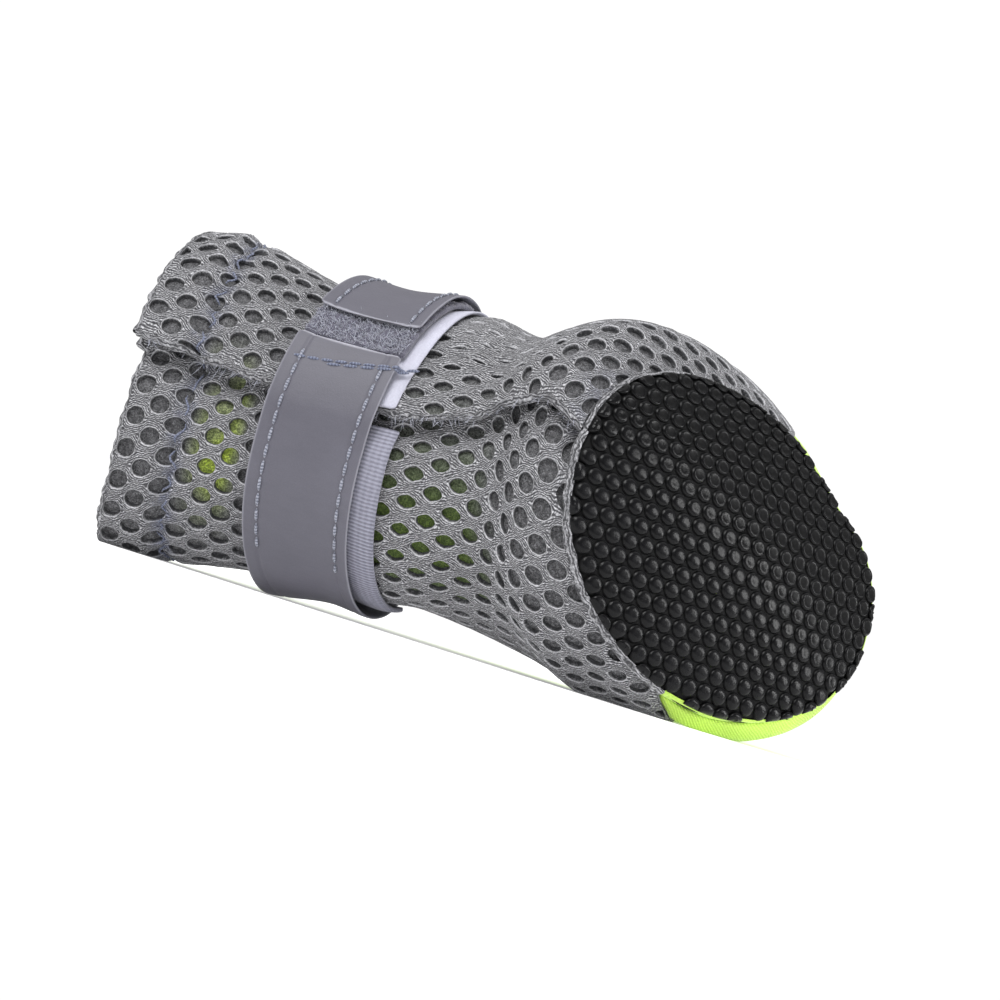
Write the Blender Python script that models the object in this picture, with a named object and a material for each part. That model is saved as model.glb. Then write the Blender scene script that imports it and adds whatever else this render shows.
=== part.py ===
# Small dog boot of spacer mesh with a knit front panel, an anti-slip sole and a fastening strap.
# Lengths are in millimetres until vertices are written, angles in degrees.
# Boot axes while it is worked out: x from heel to toe, y to the boot's left, z up from the sole.
# Angles round a section start at the back, go over the boot's right side and meet the front at 180.

import bmesh
import bpy
import math
import numpy as np

MM = 0.001

# Main sizes
sole_length = 63.4
sole_width = 49.6
sole_thickness = 2.2
sole_dish = 3.0
sole_sag = 1.5
toe_trim = 2.3
paw_width = 58.5
paw_height = 31.0
shaft_length = 68.4
shaft_width = 47.0
shaft_depth = 36.0
shaft_lean = 48.0

# Cloth
wall = 2.0
hem_height = 7.5
hem_fold = 0.5
collar_left = 2.4
panel_thickness = 0.8
layer_gap = 0.3
flap_overlap = 24.0
flap_raise = 0.8
flap_sink = 1.7
flap_blend = 15.0
heel_bulge = 1.4
front_columns = 9
panel_side = 1.4

# Strap: distances up the back line, angles round the shaft
strap_low_edge = 26.4
strap_front_drop = 3.8
strap_side_drop = 2.4
webbing_width = 20.0
webbing_thickness = 0.8
webbing_start = -112.0
base_inset = 1.4
base_width = 18.8
base_thickness = 0.5
pad_thickness = 1.0
pad_end = 88.0
tape_inset = 3.6
tape_width = 16.5
tape_thickness = 0.9
tape_end = 19.5
tab_end = 34.0
tape_slack = 0.6

# Insole
insole_thickness = 1.2
insole_share = 0.82

# How the boot lies: on its left side, sole turned towards the viewer and a little up
toe_recede = 36.0
roll_up = 17.4
nose_down = -1.0
rest_height = 33.3

# Sections of the paw, each a closed ring through a point on the back line and one on the front line.
# back: share of shaft_length; reach: share of sole_length; rise: share of paw_height;
# width: share of paw_width; full: roundness power; wide_at: share of the ring's depth where it is
# widest; shift: towards the left in mm; swing: further left at the front in mm; right: share of the
# half width kept on the right; edge: right flap edge; seam_r, seam_l: ends of the panel;
# lift: how far the right flap stands off at its edge
PAW = [
    dict(back=0.004, reach=1.000, rise=0.01, width=sole_width / paw_width, full=2.16, wide_at=0.464,
         shift=0.0, swing=1.5, right=0.908, edge=8, seam_r=107, seam_l=273, lift=0.0),
    dict(back=0.045, reach=1.050, rise=0.15, width=0.940, full=2.15, wide_at=0.472, shift=-0.2,
         swing=1.6, right=0.970, edge=10, seam_r=109, seam_l=266, lift=0.2),
    dict(back=0.090, reach=1.030, rise=0.36, width=0.985, full=2.20, wide_at=0.465, shift=-1.2,
         swing=1.4, right=1.018, edge=9, seam_r=112, seam_l=256, lift=0.3),
    dict(back=0.135, reach=0.920, rise=0.64, width=0.990, full=2.20, wide_at=0.460, shift=-1.3,
         swing=1.4, right=1.010, edge=8, seam_r=117, seam_l=247, lift=0.4),
    dict(back=0.180, reach=0.710, rise=0.92, width=0.879, full=2.10, wide_at=0.465, shift=-1.7,
         swing=1.2, right=1.010, edge=6, seam_r=124, seam_l=238, lift=0.6),
    dict(back=0.225, reach=0.463, rise=1.16, width=0.771, full=2.00, wide_at=0.475, shift=-0.3,
         swing=0.4, right=1.040, edge=4, seam_r=134, seam_l=228, lift=0.9),
]

# Sections of the shaft, square to it. depth: share of shaft_depth; width: share of shaft_width.
SHAFT = [
    dict(back=0.290, depth=1.00, width=0.994, full=2.00, wide_at=0.49, shift=-1.1,
         swing=0.0, right=1.0, edge=-1, seam_r=143, seam_l=218, lift=1.0),
    dict(back=0.390, depth=0.97, width=0.977, full=2.00, wide_at=0.50, shift=-0.4,
         swing=0.0, right=1.0, edge=-2, seam_r=148, seam_l=212, lift=0.6),
    dict(back=0.500, depth=0.96, width=0.935, full=2.00, wide_at=0.50, shift=-0.5,
         swing=0.0, right=1.0, edge=-2, seam_r=150, seam_l=210, lift=0.1),
    dict(back=0.620, depth=0.97, width=0.975, full=2.00, wide_at=0.50, shift=-0.8,
         swing=0.0, right=1.0, edge=-2, seam_r=150, seam_l=210, lift=0.1),
    dict(back=0.740, depth=1.00, width=1.040, full=2.00, wide_at=0.50, shift=-2.0,
         swing=0.0, right=1.0, edge=-3, seam_r=150, seam_l=210, lift=0.3),
    dict(back=0.870, depth=1.04, width=1.123, full=2.00, wide_at=0.50, shift=-3.0,
         swing=0.0, right=1.0, edge=-2, seam_r=150, seam_l=210, lift=0.4),
    dict(back=1.000, depth=1.07, width=1.128, full=2.00, wide_at=0.50, shift=-2.5,
         swing=0.0, right=1.0, edge=2, seam_r=150, seam_l=210, lift=0.5),
]

COLUMNS = ("full", "wide_at", "shift", "swing", "right", "edge", "seam_r", "seam_l", "lift")
FULL, WIDE_AT, SHIFT, SWING, RIGHT, EDGE, SEAM_R, SEAM_L, LIFT = range(6, 15)


def shaft_axes():
    lean = math.radians(shaft_lean)
    along = np.array([-math.cos(lean), 0.0, math.sin(lean)])
    across = np.array([math.sin(lean), 0.0, math.cos(lean)])
    return along, across


def back_point(distance):
    along, across = shaft_axes()
    bulge = heel_bulge * math.exp(-(((distance - 6.0) / 5.0) ** 2))
    return along * distance - across * bulge


def section_rows():
    """Each section as numbers in mm and degrees: back distance, back x z, front x z, half width, rest."""
    rows = []
    across = shaft_axes()[1]
    for row in PAW:
        distance = row["back"] * shaft_length
        back = back_point(distance)
        front = (row["reach"] * sole_length, row["rise"] * paw_height)
        rows.append([distance, back[0], back[2], front[0], front[1], row["width"] * paw_width / 2]
                    + [row[key] for key in COLUMNS])
    for row in SHAFT:
        distance = row["back"] * shaft_length
        back = back_point(distance)
        front = back + across * row["depth"] * shaft_depth
        rows.append([distance, back[0], back[2], front[0], front[2], row["width"] * shaft_width / 2]
                    + [row[key] for key in COLUMNS])
    return np.array(rows, float)


ROWS = section_rows()


def section(distance):
    """The section at a distance up the back, by a cubic through the rows on either side."""
    distance = np.asarray(distance, float)
    keys = ROWS[:, 0]
    last = len(keys) - 1
    k = np.clip(np.searchsorted(keys, distance, side="right") - 1, 0, last - 1)
    t = ((distance - keys[k]) / (keys[k + 1] - keys[k]))[..., None]
    step = (keys[k + 1] - keys[k])[..., None]

    def slope(i):
        low = np.clip(i - 1, 0, last)
        high = np.clip(i + 1, 0, last)
        return (ROWS[high] - ROWS[low]) / (keys[high] - keys[low])[..., None]

    a, b = ROWS[k], ROWS[k + 1]
    ta, tb = slope(k) * step, slope(k + 1) * step
    return ((2 * t ** 3 - 3 * t ** 2 + 1) * a + (t ** 3 - 2 * t ** 2 + t) * ta
            + (3 * t ** 2 - 2 * t ** 3) * b + (t ** 3 - t ** 2) * tb)


def last_surface(distance, angle):
    """A point of the upper's outer surface in the boot's axes."""
    row = section(distance)
    turn = np.radians(angle)
    cosine, sine = np.cos(turn), np.sin(turn)
    power = 2.0 / row[..., FULL]
    cosine = np.sign(cosine) * np.abs(cosine) ** power
    sine = np.sign(sine) * np.abs(sine) ** power
    share = 0.5 - 0.5 * cosine
    share = share + 4.0 * (row[..., WIDE_AT] - 0.5) * share * (1.0 - share)
    x = row[..., 1] + (row[..., 3] - row[..., 1]) * share
    z = row[..., 2] + (row[..., 4] - row[..., 2]) * share
    half = row[..., 5] * np.where(sine > 0, row[..., RIGHT], 1.0)
    sag = sole_sag * np.exp(-(((angle - 264.0) / 28.0) ** 2) - (distance / 4.5) ** 2)
    trim = toe_trim * np.exp(-(((angle - 128.0) / 19.0) ** 2) - (distance / 9.0) ** 2)
    y = row[..., SHIFT] + row[..., SWING] * share ** 2 - half * sine + sag + trim
    return np.stack([x, y, z], axis=-1)


def outward(distance, angle):
    """The unit normal of that surface, out of the boot."""
    ds, da = 0.05, 0.2
    low = np.maximum(distance - ds, 0.3)
    up = last_surface(low + 2 * ds, angle) - last_surface(low, angle)
    turn = last_surface(distance, angle + da) - last_surface(distance, angle - da)
    normal = np.cross(turn, up)
    return normal / np.linalg.norm(normal, axis=-1, keepdims=True)


def to_floor(points, least):
    """Turns boot axes into the lying boot's axes and presses whatever is below the floor flat."""
    recede, roll, nose = (math.radians(v) for v in (toe_recede, roll_up, nose_down))
    x_axis = [math.cos(recede), math.sin(recede) * math.cos(roll), -math.sin(recede) * math.sin(roll)]
    y_axis = [0.0, -math.sin(roll), -math.cos(roll)]
    z_axis = [-math.sin(recede), math.cos(recede) * math.cos(roll), -math.cos(recede) * math.sin(roll)]
    out = points @ np.array([x_axis, y_axis, z_axis])
    tip = np.array([[math.cos(nose), 0.0, -math.sin(nose)],
                    [0.0, 1.0, 0.0],
                    [math.sin(nose), 0.0, math.cos(nose)]])
    out = out @ tip
    out[..., 2] = np.maximum(out[..., 2] + rest_height, least)
    return out


def cut_end(distance, angle):
    """Carries the collar's edge a little further on the left."""
    near = smooth_step((distance - 45.0) / (shaft_length - 45.0))
    left = collar_left * np.exp(-(((angle - 275.0) / 42.0) ** 2))
    return distance + near * left


def layer(distance, angle, out, cover=0.0):
    """The surface moved out by a distance; cover is how far the outermost layer there stands out."""
    distance, angle, out = np.broadcast_arrays(
        np.asarray(distance, float), np.asarray(angle, float), np.asarray(out, float))
    distance = cut_end(distance, angle)
    points = last_surface(distance, angle) + outward(distance, angle) * out[..., None]
    return to_floor(points, cover - out)


def smooth_step(value):
    value = np.clip(value, 0.0, 1.0)
    return value * value * (3.0 - 2.0 * value)


def shell(name, top, bottom):
    """A closed body between two grids of points, joined round its borders."""
    rows, columns = top.shape[:2]
    points = np.concatenate([top.reshape(-1, 3), bottom.reshape(-1, 3)]) * MM
    offset = rows * columns
    faces = []
    for i in range(rows - 1):
        for j in range(columns - 1):
            a, b = i * columns + j, (i + 1) * columns + j
            quad = [a, a + 1, b + 1, b]
            faces.append(quad)
            faces.append([v + offset for v in reversed(quad)])
    for j in range(columns - 1):
        faces.append([j + 1, j, j + offset, j + 1 + offset])
        low = (rows - 1) * columns + j
        faces.append([low, low + 1, low + 1 + offset, low + offset])
    for i in range(rows - 1):
        a, b = i * columns, (i + 1) * columns
        faces.append([a, b, b + offset, a + offset])
        a, b = a + columns - 1, b + columns - 1
        faces.append([b, a, a + offset, b + offset])
    return make_object(name, points, faces)


def make_object(name, points, faces):
    mesh = bpy.data.meshes.new(name)
    mesh.from_pydata([tuple(p) for p in points], [], faces)
    work = bmesh.new()
    work.from_mesh(mesh)
    bmesh.ops.remove_doubles(work, verts=work.verts, dist=0.000001)
    bmesh.ops.triangulate(work, faces=work.faces)
    bmesh.ops.recalc_face_normals(work, faces=work.faces)
    work.to_mesh(mesh)
    work.free()
    made = bpy.data.objects.new(name, mesh)
    boot.objects.link(made)
    return made


def material(made, name, colour, roughness):
    look = bpy.data.materials.new(name)
    look.use_nodes = True
    shader = look.node_tree.nodes["Principled BSDF"]
    shader.inputs["Base Color"].default_value = (*colour, 1.0)
    shader.inputs["Roughness"].default_value = roughness
    made.data.materials.append(look)


def spans(*pieces):
    """Angles or distances from (start, end, count) runs, ends included once."""
    values = []
    for start, end, count in pieces:
        values.extend(np.linspace(start, end, count, endpoint=False))
    values.append(pieces[-1][1])
    return np.array(values)


def upper_angles(row, right, front, left, lap):
    """The angles of one row of the upper: right flap edge, right side, front, left side, under flap."""
    step = 0.6
    return spans((row[EDGE], row[SEAM_R] - step, right), (row[SEAM_R] - step, row[SEAM_R], 1),
                 (row[SEAM_R], row[SEAM_L], front), (row[SEAM_L], row[SEAM_L] + step, 1),
                 (row[SEAM_L] + step, 360.0 + row[EDGE] - flap_blend, left),
                 (360.0 + row[EDGE] - flap_blend, 360.0 + row[EDGE] - 2.0, 3),
                 (360.0 + row[EDGE] - 2.0, 360.0 + row[EDGE] + flap_overlap, lap))


def cloth_heights():
    """The distances up the back at which the upper and its panel have points."""
    hem_start = shaft_length - hem_height
    return spans((0.45, 12.0, 8), (12.0, 30.0, 6), (30.0, hem_start, 6),
                 (hem_start, hem_start + 0.8, 1), (hem_start + 0.8, shaft_length, 3))


def flap_rise(row, angles):
    """How far the right flap stands off the under flap, most at its edge."""
    return (flap_raise + row[LIFT]) * (1.0 - smooth_step((angles - row[EDGE]) / 30.0))


def flap_dip(row, angles):
    """How far the left side sinks to pass under the right flap."""
    return flap_sink * smooth_step((angles - (360.0 + row[EDGE] - flap_blend)) / (flap_blend - 2.0))


def build_upper():
    hem_start = shaft_length - hem_height
    outer, inner = [], []
    for height in cloth_heights():
        row = section(height)
        angles = upper_angles(row, 11, front_columns, 11, 4)
        in_front = (angles > row[SEAM_R] - 0.3) & (angles < row[SEAM_L] + 0.3)
        hem = hem_fold * smooth_step((height - hem_start) / 0.8)
        out = hem + flap_rise(row, angles) - flap_dip(row, angles) * (1.0 + hem / flap_sink)
        out[in_front] = -(panel_thickness + layer_gap)
        back = np.where(in_front, -wall, out - wall)
        outer.append(layer(height, angles, out, hem))
        inner.append(layer(height, angles, back, hem))
    made = shell("upper", np.array(outer), np.array(inner))
    material(made, "spacer_mesh_grey", (0.36, 0.37, 0.38), 0.8)
    return made


def build_panel():
    outer, inner = [], []
    for height in cloth_heights():
        row = section(height)
        angles = spans((row[SEAM_R], row[SEAM_L], front_columns))
        angles[0] += panel_side
        angles[-1] -= panel_side
        height = min(height, shaft_length - 0.6)
        outer.append(layer(height, angles, 0.0))
        inner.append(layer(height, angles, -panel_thickness))
    made = shell("front_panel", np.array(outer), np.array(inner))
    material(made, "lime_knit", (0.55, 0.85, 0.10), 0.75)
    return made


def plate(name, share, top_out, thickness, rings, around):
    """A dished plate under the upper; its rim follows the lowest section."""
    angles = np.arange(around) * 360.0 / around
    rim = last_surface(np.full(around, ROWS[0, 0]), angles)
    centre = np.array([(rim[:, 0].max() + rim[:, 0].min()) / 2, 0.0, 0.0])
    radii = np.linspace(share, 0.0, rings + 1)[:-1]
    points = []
    for level in (top_out, top_out - thickness):
        for radius in radii:
            ring = centre + (rim - centre) * [radius, radius, 0.0]
            ring[:, 2] = level - sole_dish * (1.0 - radius ** 2)
            points.append(ring)
        points.append((centre + [0.0, 0.0, level - sole_dish])[None])
    points = to_floor(np.concatenate(points), 0.0) * MM
    faces = []
    half = rings * around + 1
    for side in (0, half):
        for i in range(rings - 1):
            for j in range(around):
                k = (j + 1) % around
                quad = [side + i * around + j, side + i * around + k,
                        side + (i + 1) * around + k, side + (i + 1) * around + j]
                faces.append(quad if side == 0 else quad[::-1])
        low = side + (rings - 1) * around
        for j in range(around):
            k = (j + 1) % around
            fan = [low + j, low + k, side + rings * around]
            faces.append(fan if side == 0 else fan[::-1])
    for j in range(around):
        k = (j + 1) % around
        faces.append([k, j, j + half, k + half])
    return make_object(name, points, faces)


def build_sole():
    made = plate("sole", 1.0, 0.0, sole_thickness, 9, 48)
    material(made, "sole_black", (0.02, 0.02, 0.022), 0.5)
    bed = plate("insole", insole_share, layer_gap + insole_thickness, insole_thickness, 5, 32)
    material(bed, "insole_grey", (0.25, 0.25, 0.27), 0.9)


def ring_piece(name, low, width, across, angles, under, thickness):
    """A strip round the shaft; the strap hangs lower at the front and a little lower on the right."""
    turn = np.radians(angles)
    drop = strap_front_drop * (1.0 - np.cos(turn)) + strap_side_drop * np.sin(turn)
    outer, inner = [], []
    for share in np.linspace(0.0, 1.0, across):
        heights = low + width * share - drop
        outer.append(layer(heights, angles, under + thickness, under + thickness))
        inner.append(layer(heights, angles, under, under + thickness))
    return shell(name, np.array(outer), np.array(inner))


def build_strap():
    row = section(strap_low_edge + tape_inset + tape_width / 2)
    edge = row[EDGE]
    lifted = flap_rise(row, np.array([edge]))[0]

    angles = np.linspace(webbing_start, edge - 4.0, 20)
    under = layer_gap + 0.1 - flap_dip(row, angles + 360.0)
    made = ring_piece("strap_webbing", strap_low_edge, webbing_width, 4, angles, under, webbing_thickness)
    material(made, "lilac_webbing", (0.55, 0.54, 0.62), 0.8)

    low = strap_low_edge + base_inset
    angles = np.linspace(edge + 2.0, pad_end, 16)
    under = layer_gap + 0.1 + flap_rise(row, angles)
    made = ring_piece("strap_loop_base", low, base_width, 4, angles, under, base_thickness)
    material(made, "lilac_tape", (0.62, 0.60, 0.70), 0.7)

    low = strap_low_edge + tape_inset
    angles = np.linspace(tape_end + 1.2, pad_end, 14)
    under = layer_gap * 2 + 0.1 + base_thickness + flap_rise(row, angles)
    made = ring_piece("strap_loop_pad", low + 0.2, tape_width - 0.4, 4, angles, under, pad_thickness)
    material(made, "loop_pile", (0.30, 0.29, 0.36), 0.95)

    angles = np.concatenate([
        np.linspace(tab_end, 130.0, 14, endpoint=False),
        np.linspace(130.0, 235.0, 11, endpoint=False),
        np.linspace(235.0, 360.0 + tape_end, 22)])
    over_pad = layer_gap * 3 + base_thickness + pad_thickness + 0.1
    over_webbing = layer_gap * 2 + webbing_thickness + 0.1
    over_flap = layer_gap * 2 + base_thickness + lifted + 0.1
    flat = layer_gap + 0.1
    out = flat + (over_pad - flat) * (1.0 - smooth_step((angles - pad_end - 3.0) / 26.0))
    out += (over_webbing - flat) * smooth_step((angles - 226.0) / 18.0)
    out += (over_flap - over_webbing) * smooth_step((angles - 340.0) / 14.0)
    out += tape_slack * np.exp(-(((angles - 257.0) / 26.0) ** 2))
    out += flap_rise(row, np.maximum(angles, tab_end)) * (angles < 90.0)
    made = ring_piece("strap_tape", low, tape_width, 4, angles, out, tape_thickness)
    material(made, "reflective_grey", (0.22, 0.22, 0.25), 0.35)


for old in list(bpy.data.objects):
    bpy.data.objects.remove(old, do_unlink=True)
boot = bpy.data.collections.new("dog_boot")
bpy.context.scene.collection.children.link(boot)

build_upper()
build_panel()
build_sole()
build_strap()

# The origin goes to the middle of the floor under the boot.
corners = np.concatenate([[tuple(v.co) for v in made.data.vertices] for made in boot.objects])
middle = (corners.max(axis=0) + corners.min(axis=0)) / 2
for made in boot.objects:
    for vertex in made.data.vertices:
        vertex.co.x -= middle[0]
        vertex.co.y -= middle[1]
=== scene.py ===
# Looks of the small dog boot: open spacer mesh, lime knit front, dotted sole and a layered strap.
# Lengths are in millimetres until vertices are written, angles in degrees.

import bpy
import math
import numpy as np
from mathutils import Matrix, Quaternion, Vector


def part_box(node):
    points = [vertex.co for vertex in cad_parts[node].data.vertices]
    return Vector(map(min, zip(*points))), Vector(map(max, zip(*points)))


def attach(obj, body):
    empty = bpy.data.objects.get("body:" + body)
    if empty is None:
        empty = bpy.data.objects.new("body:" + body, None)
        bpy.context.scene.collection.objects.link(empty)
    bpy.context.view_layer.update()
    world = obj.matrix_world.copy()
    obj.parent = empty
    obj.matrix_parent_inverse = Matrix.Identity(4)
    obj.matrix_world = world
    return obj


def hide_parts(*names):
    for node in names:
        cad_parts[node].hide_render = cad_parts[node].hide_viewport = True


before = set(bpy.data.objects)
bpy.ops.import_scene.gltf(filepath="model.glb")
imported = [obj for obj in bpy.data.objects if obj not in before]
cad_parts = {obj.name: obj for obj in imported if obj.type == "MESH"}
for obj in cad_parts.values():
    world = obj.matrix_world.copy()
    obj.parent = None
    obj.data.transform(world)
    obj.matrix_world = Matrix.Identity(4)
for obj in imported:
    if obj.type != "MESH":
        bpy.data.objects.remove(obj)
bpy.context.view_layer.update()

MM = 0.001
rng = np.random.default_rng(7)

# Main sizes of the boot, as in its solids
sole_length = 63.4
sole_width = 49.6
sole_thickness = 2.2
sole_dish = 3.0
sole_sag = 1.5
toe_trim = 2.3
paw_width = 58.5
paw_height = 31.0
shaft_length = 68.4
shaft_width = 47.0
shaft_depth = 36.0
shaft_lean = 48.0
wall = 2.0
hem_height = 7.5
hem_fold = 0.5
collar_left = 2.4
panel_thickness = 0.8
layer_gap = 0.3
flap_overlap = 24.0
flap_raise = 0.8
flap_sink = 1.7
flap_blend = 15.0
heel_bulge = 1.4
panel_side = 1.4
flap_corner = 1.6
strap_low_edge = 26.4
strap_front_drop = 3.8
strap_side_drop = 2.4
webbing_width = 20.0
webbing_thickness = 0.8
webbing_start = -112.0
base_inset = 1.4
base_width = 18.8
base_thickness = 0.5
pad_thickness = 1.0
pad_end = 88.0
tape_inset = 3.6
tape_width = 16.5
tape_thickness = 0.9
tape_end = 19.5
tab_end = 34.0
tape_slack = 0.6
insole_thickness = 1.2
insole_share = 0.82
toe_recede = 36.0
roll_up = 17.4
nose_down = -1.0
rest_height = 33.3
hem_start = shaft_length - hem_height

PAW = [
    dict(back=0.004, reach=1.000, rise=0.01, width=sole_width / paw_width, full=2.16, wide_at=0.464,
         shift=0.0, swing=1.5, right=0.908, edge=8, seam_r=107, seam_l=273, lift=0.0),
    dict(back=0.045, reach=1.050, rise=0.15, width=0.940, full=2.15, wide_at=0.472, shift=-0.2,
         swing=1.6, right=0.970, edge=10, seam_r=109, seam_l=266, lift=0.2),
    dict(back=0.090, reach=1.030, rise=0.36, width=0.985, full=2.20, wide_at=0.465, shift=-1.2,
         swing=1.4, right=1.018, edge=9, seam_r=112, seam_l=256, lift=0.3),
    dict(back=0.135, reach=0.920, rise=0.64, width=0.990, full=2.20, wide_at=0.460, shift=-1.3,
         swing=1.4, right=1.010, edge=8, seam_r=117, seam_l=247, lift=0.4),
    dict(back=0.180, reach=0.710, rise=0.92, width=0.879, full=2.10, wide_at=0.465, shift=-1.7,
         swing=1.2, right=1.010, edge=6, seam_r=124, seam_l=238, lift=0.6),
    dict(back=0.225, reach=0.463, rise=1.16, width=0.771, full=2.00, wide_at=0.475, shift=-0.3,
         swing=0.4, right=1.040, edge=4, seam_r=134, seam_l=228, lift=0.9),
]
SHAFT = [
    dict(back=0.290, depth=1.00, width=0.994, full=2.00, wide_at=0.49, shift=-1.1,
         swing=0.0, right=1.0, edge=-1, seam_r=143, seam_l=218, lift=1.0),
    dict(back=0.390, depth=0.97, width=0.977, full=2.00, wide_at=0.50, shift=-0.4,
         swing=0.0, right=1.0, edge=-2, seam_r=148, seam_l=212, lift=0.6),
    dict(back=0.500, depth=0.96, width=0.935, full=2.00, wide_at=0.50, shift=-0.5,
         swing=0.0, right=1.0, edge=-2, seam_r=150, seam_l=210, lift=0.1),
    dict(back=0.620, depth=0.97, width=0.975, full=2.00, wide_at=0.50, shift=-0.8,
         swing=0.0, right=1.0, edge=-2, seam_r=150, seam_l=210, lift=0.1),
    dict(back=0.740, depth=1.00, width=1.040, full=2.00, wide_at=0.50, shift=-2.0,
         swing=0.0, right=1.0, edge=-3, seam_r=150, seam_l=210, lift=0.3),
    dict(back=0.870, depth=1.04, width=1.123, full=2.00, wide_at=0.50, shift=-3.0,
         swing=0.0, right=1.0, edge=-2, seam_r=150, seam_l=210, lift=0.4),
    dict(back=1.000, depth=1.07, width=1.128, full=2.00, wide_at=0.50, shift=-2.5,
         swing=0.0, right=1.0, edge=2, seam_r=150, seam_l=210, lift=0.5),
]
COLUMNS = ("full", "wide_at", "shift", "swing", "right", "edge", "seam_r", "seam_l", "lift")
FULL, WIDE_AT, SHIFT, SWING, RIGHT, EDGE, SEAM_R, SEAM_L, LIFT = range(6, 15)


def shaft_axes():
    lean = math.radians(shaft_lean)
    along = np.array([-math.cos(lean), 0.0, math.sin(lean)])
    across = np.array([math.sin(lean), 0.0, math.cos(lean)])
    return along, across


def back_point(distance):
    along, across = shaft_axes()
    bulge = heel_bulge * math.exp(-(((distance - 6.0) / 5.0) ** 2))
    return along * distance - across * bulge


def section_rows():
    rows = []
    across = shaft_axes()[1]
    for row in PAW:
        distance = row["back"] * shaft_length
        back = back_point(distance)
        front = (row["reach"] * sole_length, row["rise"] * paw_height)
        rows.append([distance, back[0], back[2], front[0], front[1], row["width"] * paw_width / 2]
                    + [row[key] for key in COLUMNS])
    for row in SHAFT:
        distance = row["back"] * shaft_length
        back = back_point(distance)
        front = back + across * row["depth"] * shaft_depth
        rows.append([distance, back[0], back[2], front[0], front[2], row["width"] * shaft_width / 2]
                    + [row[key] for key in COLUMNS])
    return np.array(rows, float)


ROWS = section_rows()


def section(distance):
    distance = np.asarray(distance, float)
    keys = ROWS[:, 0]
    last = len(keys) - 1
    k = np.clip(np.searchsorted(keys, distance, side="right") - 1, 0, last - 1)
    t = ((distance - keys[k]) / (keys[k + 1] - keys[k]))[..., None]
    step = (keys[k + 1] - keys[k])[..., None]

    def slope(i):
        low = np.clip(i - 1, 0, last)
        high = np.clip(i + 1, 0, last)
        return (ROWS[high] - ROWS[low]) / (keys[high] - keys[low])[..., None]

    a, b = ROWS[k], ROWS[k + 1]
    ta, tb = slope(k) * step, slope(k + 1) * step
    return ((2 * t ** 3 - 3 * t ** 2 + 1) * a + (t ** 3 - 2 * t ** 2 + t) * ta
            + (3 * t ** 2 - 2 * t ** 3) * b + (t ** 3 - t ** 2) * tb)


def last_surface(distance, angle):
    row = section(distance)
    turn = np.radians(angle)
    cosine, sine = np.cos(turn), np.sin(turn)
    power = 2.0 / row[..., FULL]
    cosine = np.sign(cosine) * np.abs(cosine) ** power
    sine = np.sign(sine) * np.abs(sine) ** power
    share = 0.5 - 0.5 * cosine
    share = share + 4.0 * (row[..., WIDE_AT] - 0.5) * share * (1.0 - share)
    x = row[..., 1] + (row[..., 3] - row[..., 1]) * share
    z = row[..., 2] + (row[..., 4] - row[..., 2]) * share
    half = row[..., 5] * np.where(sine > 0, row[..., RIGHT], 1.0)
    sag = sole_sag * np.exp(-(((angle - 264.0) / 28.0) ** 2) - (distance / 4.5) ** 2)
    trim = toe_trim * np.exp(-(((angle - 128.0) / 19.0) ** 2) - (distance / 9.0) ** 2)
    y = row[..., SHIFT] + row[..., SWING] * share ** 2 - half * sine + sag + trim
    return np.stack([x, y, z], axis=-1)


def outward(distance, angle):
    ds, da = 0.05, 0.2
    low = np.maximum(distance - ds, 0.3)
    up = last_surface(low + 2 * ds, angle) - last_surface(low, angle)
    turn = last_surface(distance, angle + da) - last_surface(distance, angle - da)
    normal = np.cross(turn, up)
    return normal / np.linalg.norm(normal, axis=-1, keepdims=True)


def to_floor(points, least):
    recede, roll, nose = (math.radians(v) for v in (toe_recede, roll_up, nose_down))
    x_axis = np.array([math.cos(recede), math.sin(recede) * math.cos(roll), -math.sin(recede) * math.sin(roll)])
    y_axis = np.array([0.0, -math.sin(roll), -math.cos(roll)])
    z_axis = np.array([-math.sin(recede), math.cos(recede) * math.cos(roll), -math.cos(recede) * math.sin(roll)])
    out = points @ np.array([x_axis, y_axis, z_axis])
    tip = np.array([[math.cos(nose), 0.0, -math.sin(nose)], [0.0, 1.0, 0.0], [math.sin(nose), 0.0, math.cos(nose)]])
    out = out @ tip
    out[..., 2] = np.maximum(out[..., 2] + rest_height, np.maximum(least, 0.02))
    return out


def smooth_step(value):
    value = np.clip(value, 0.0, 1.0)
    return value * value * (3.0 - 2.0 * value)


def cut_end(distance, angle):
    near = smooth_step((distance - 45.0) / (shaft_length - 45.0))
    left = collar_left * np.exp(-(((angle - 275.0) / 42.0) ** 2))
    behind = (angle + 180.0) % 360.0 - 180.0
    corner = flap_corner * smooth_step((behind + 0.5) / 2.5) * (1.0 - smooth_step((behind - 18.0) / 60.0))
    return distance + near * left + near ** 3 * corner


def layer(distance, angle, out, cover=0.0):
    distance, angle, out = np.broadcast_arrays(
        np.asarray(distance, float), np.asarray(angle, float), np.asarray(out, float))
    distance = cut_end(distance, angle)
    points = last_surface(distance, angle) + outward(distance, angle) * out[..., None]
    return to_floor(points, cover - out)


def flap_rise(edge, lift, angles):
    return (flap_raise + lift) * (1.0 - smooth_step((angles - edge) / 30.0))


def flap_dip(edge, angles):
    return flap_sink * smooth_step((angles - (360.0 + edge - flap_blend)) / (flap_blend - 2.0))


def from_back(angle):
    """Signed angle from the back line, + over the right side."""
    return (np.asarray(angle, float) + 180.0) % 360.0 - 180.0


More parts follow.
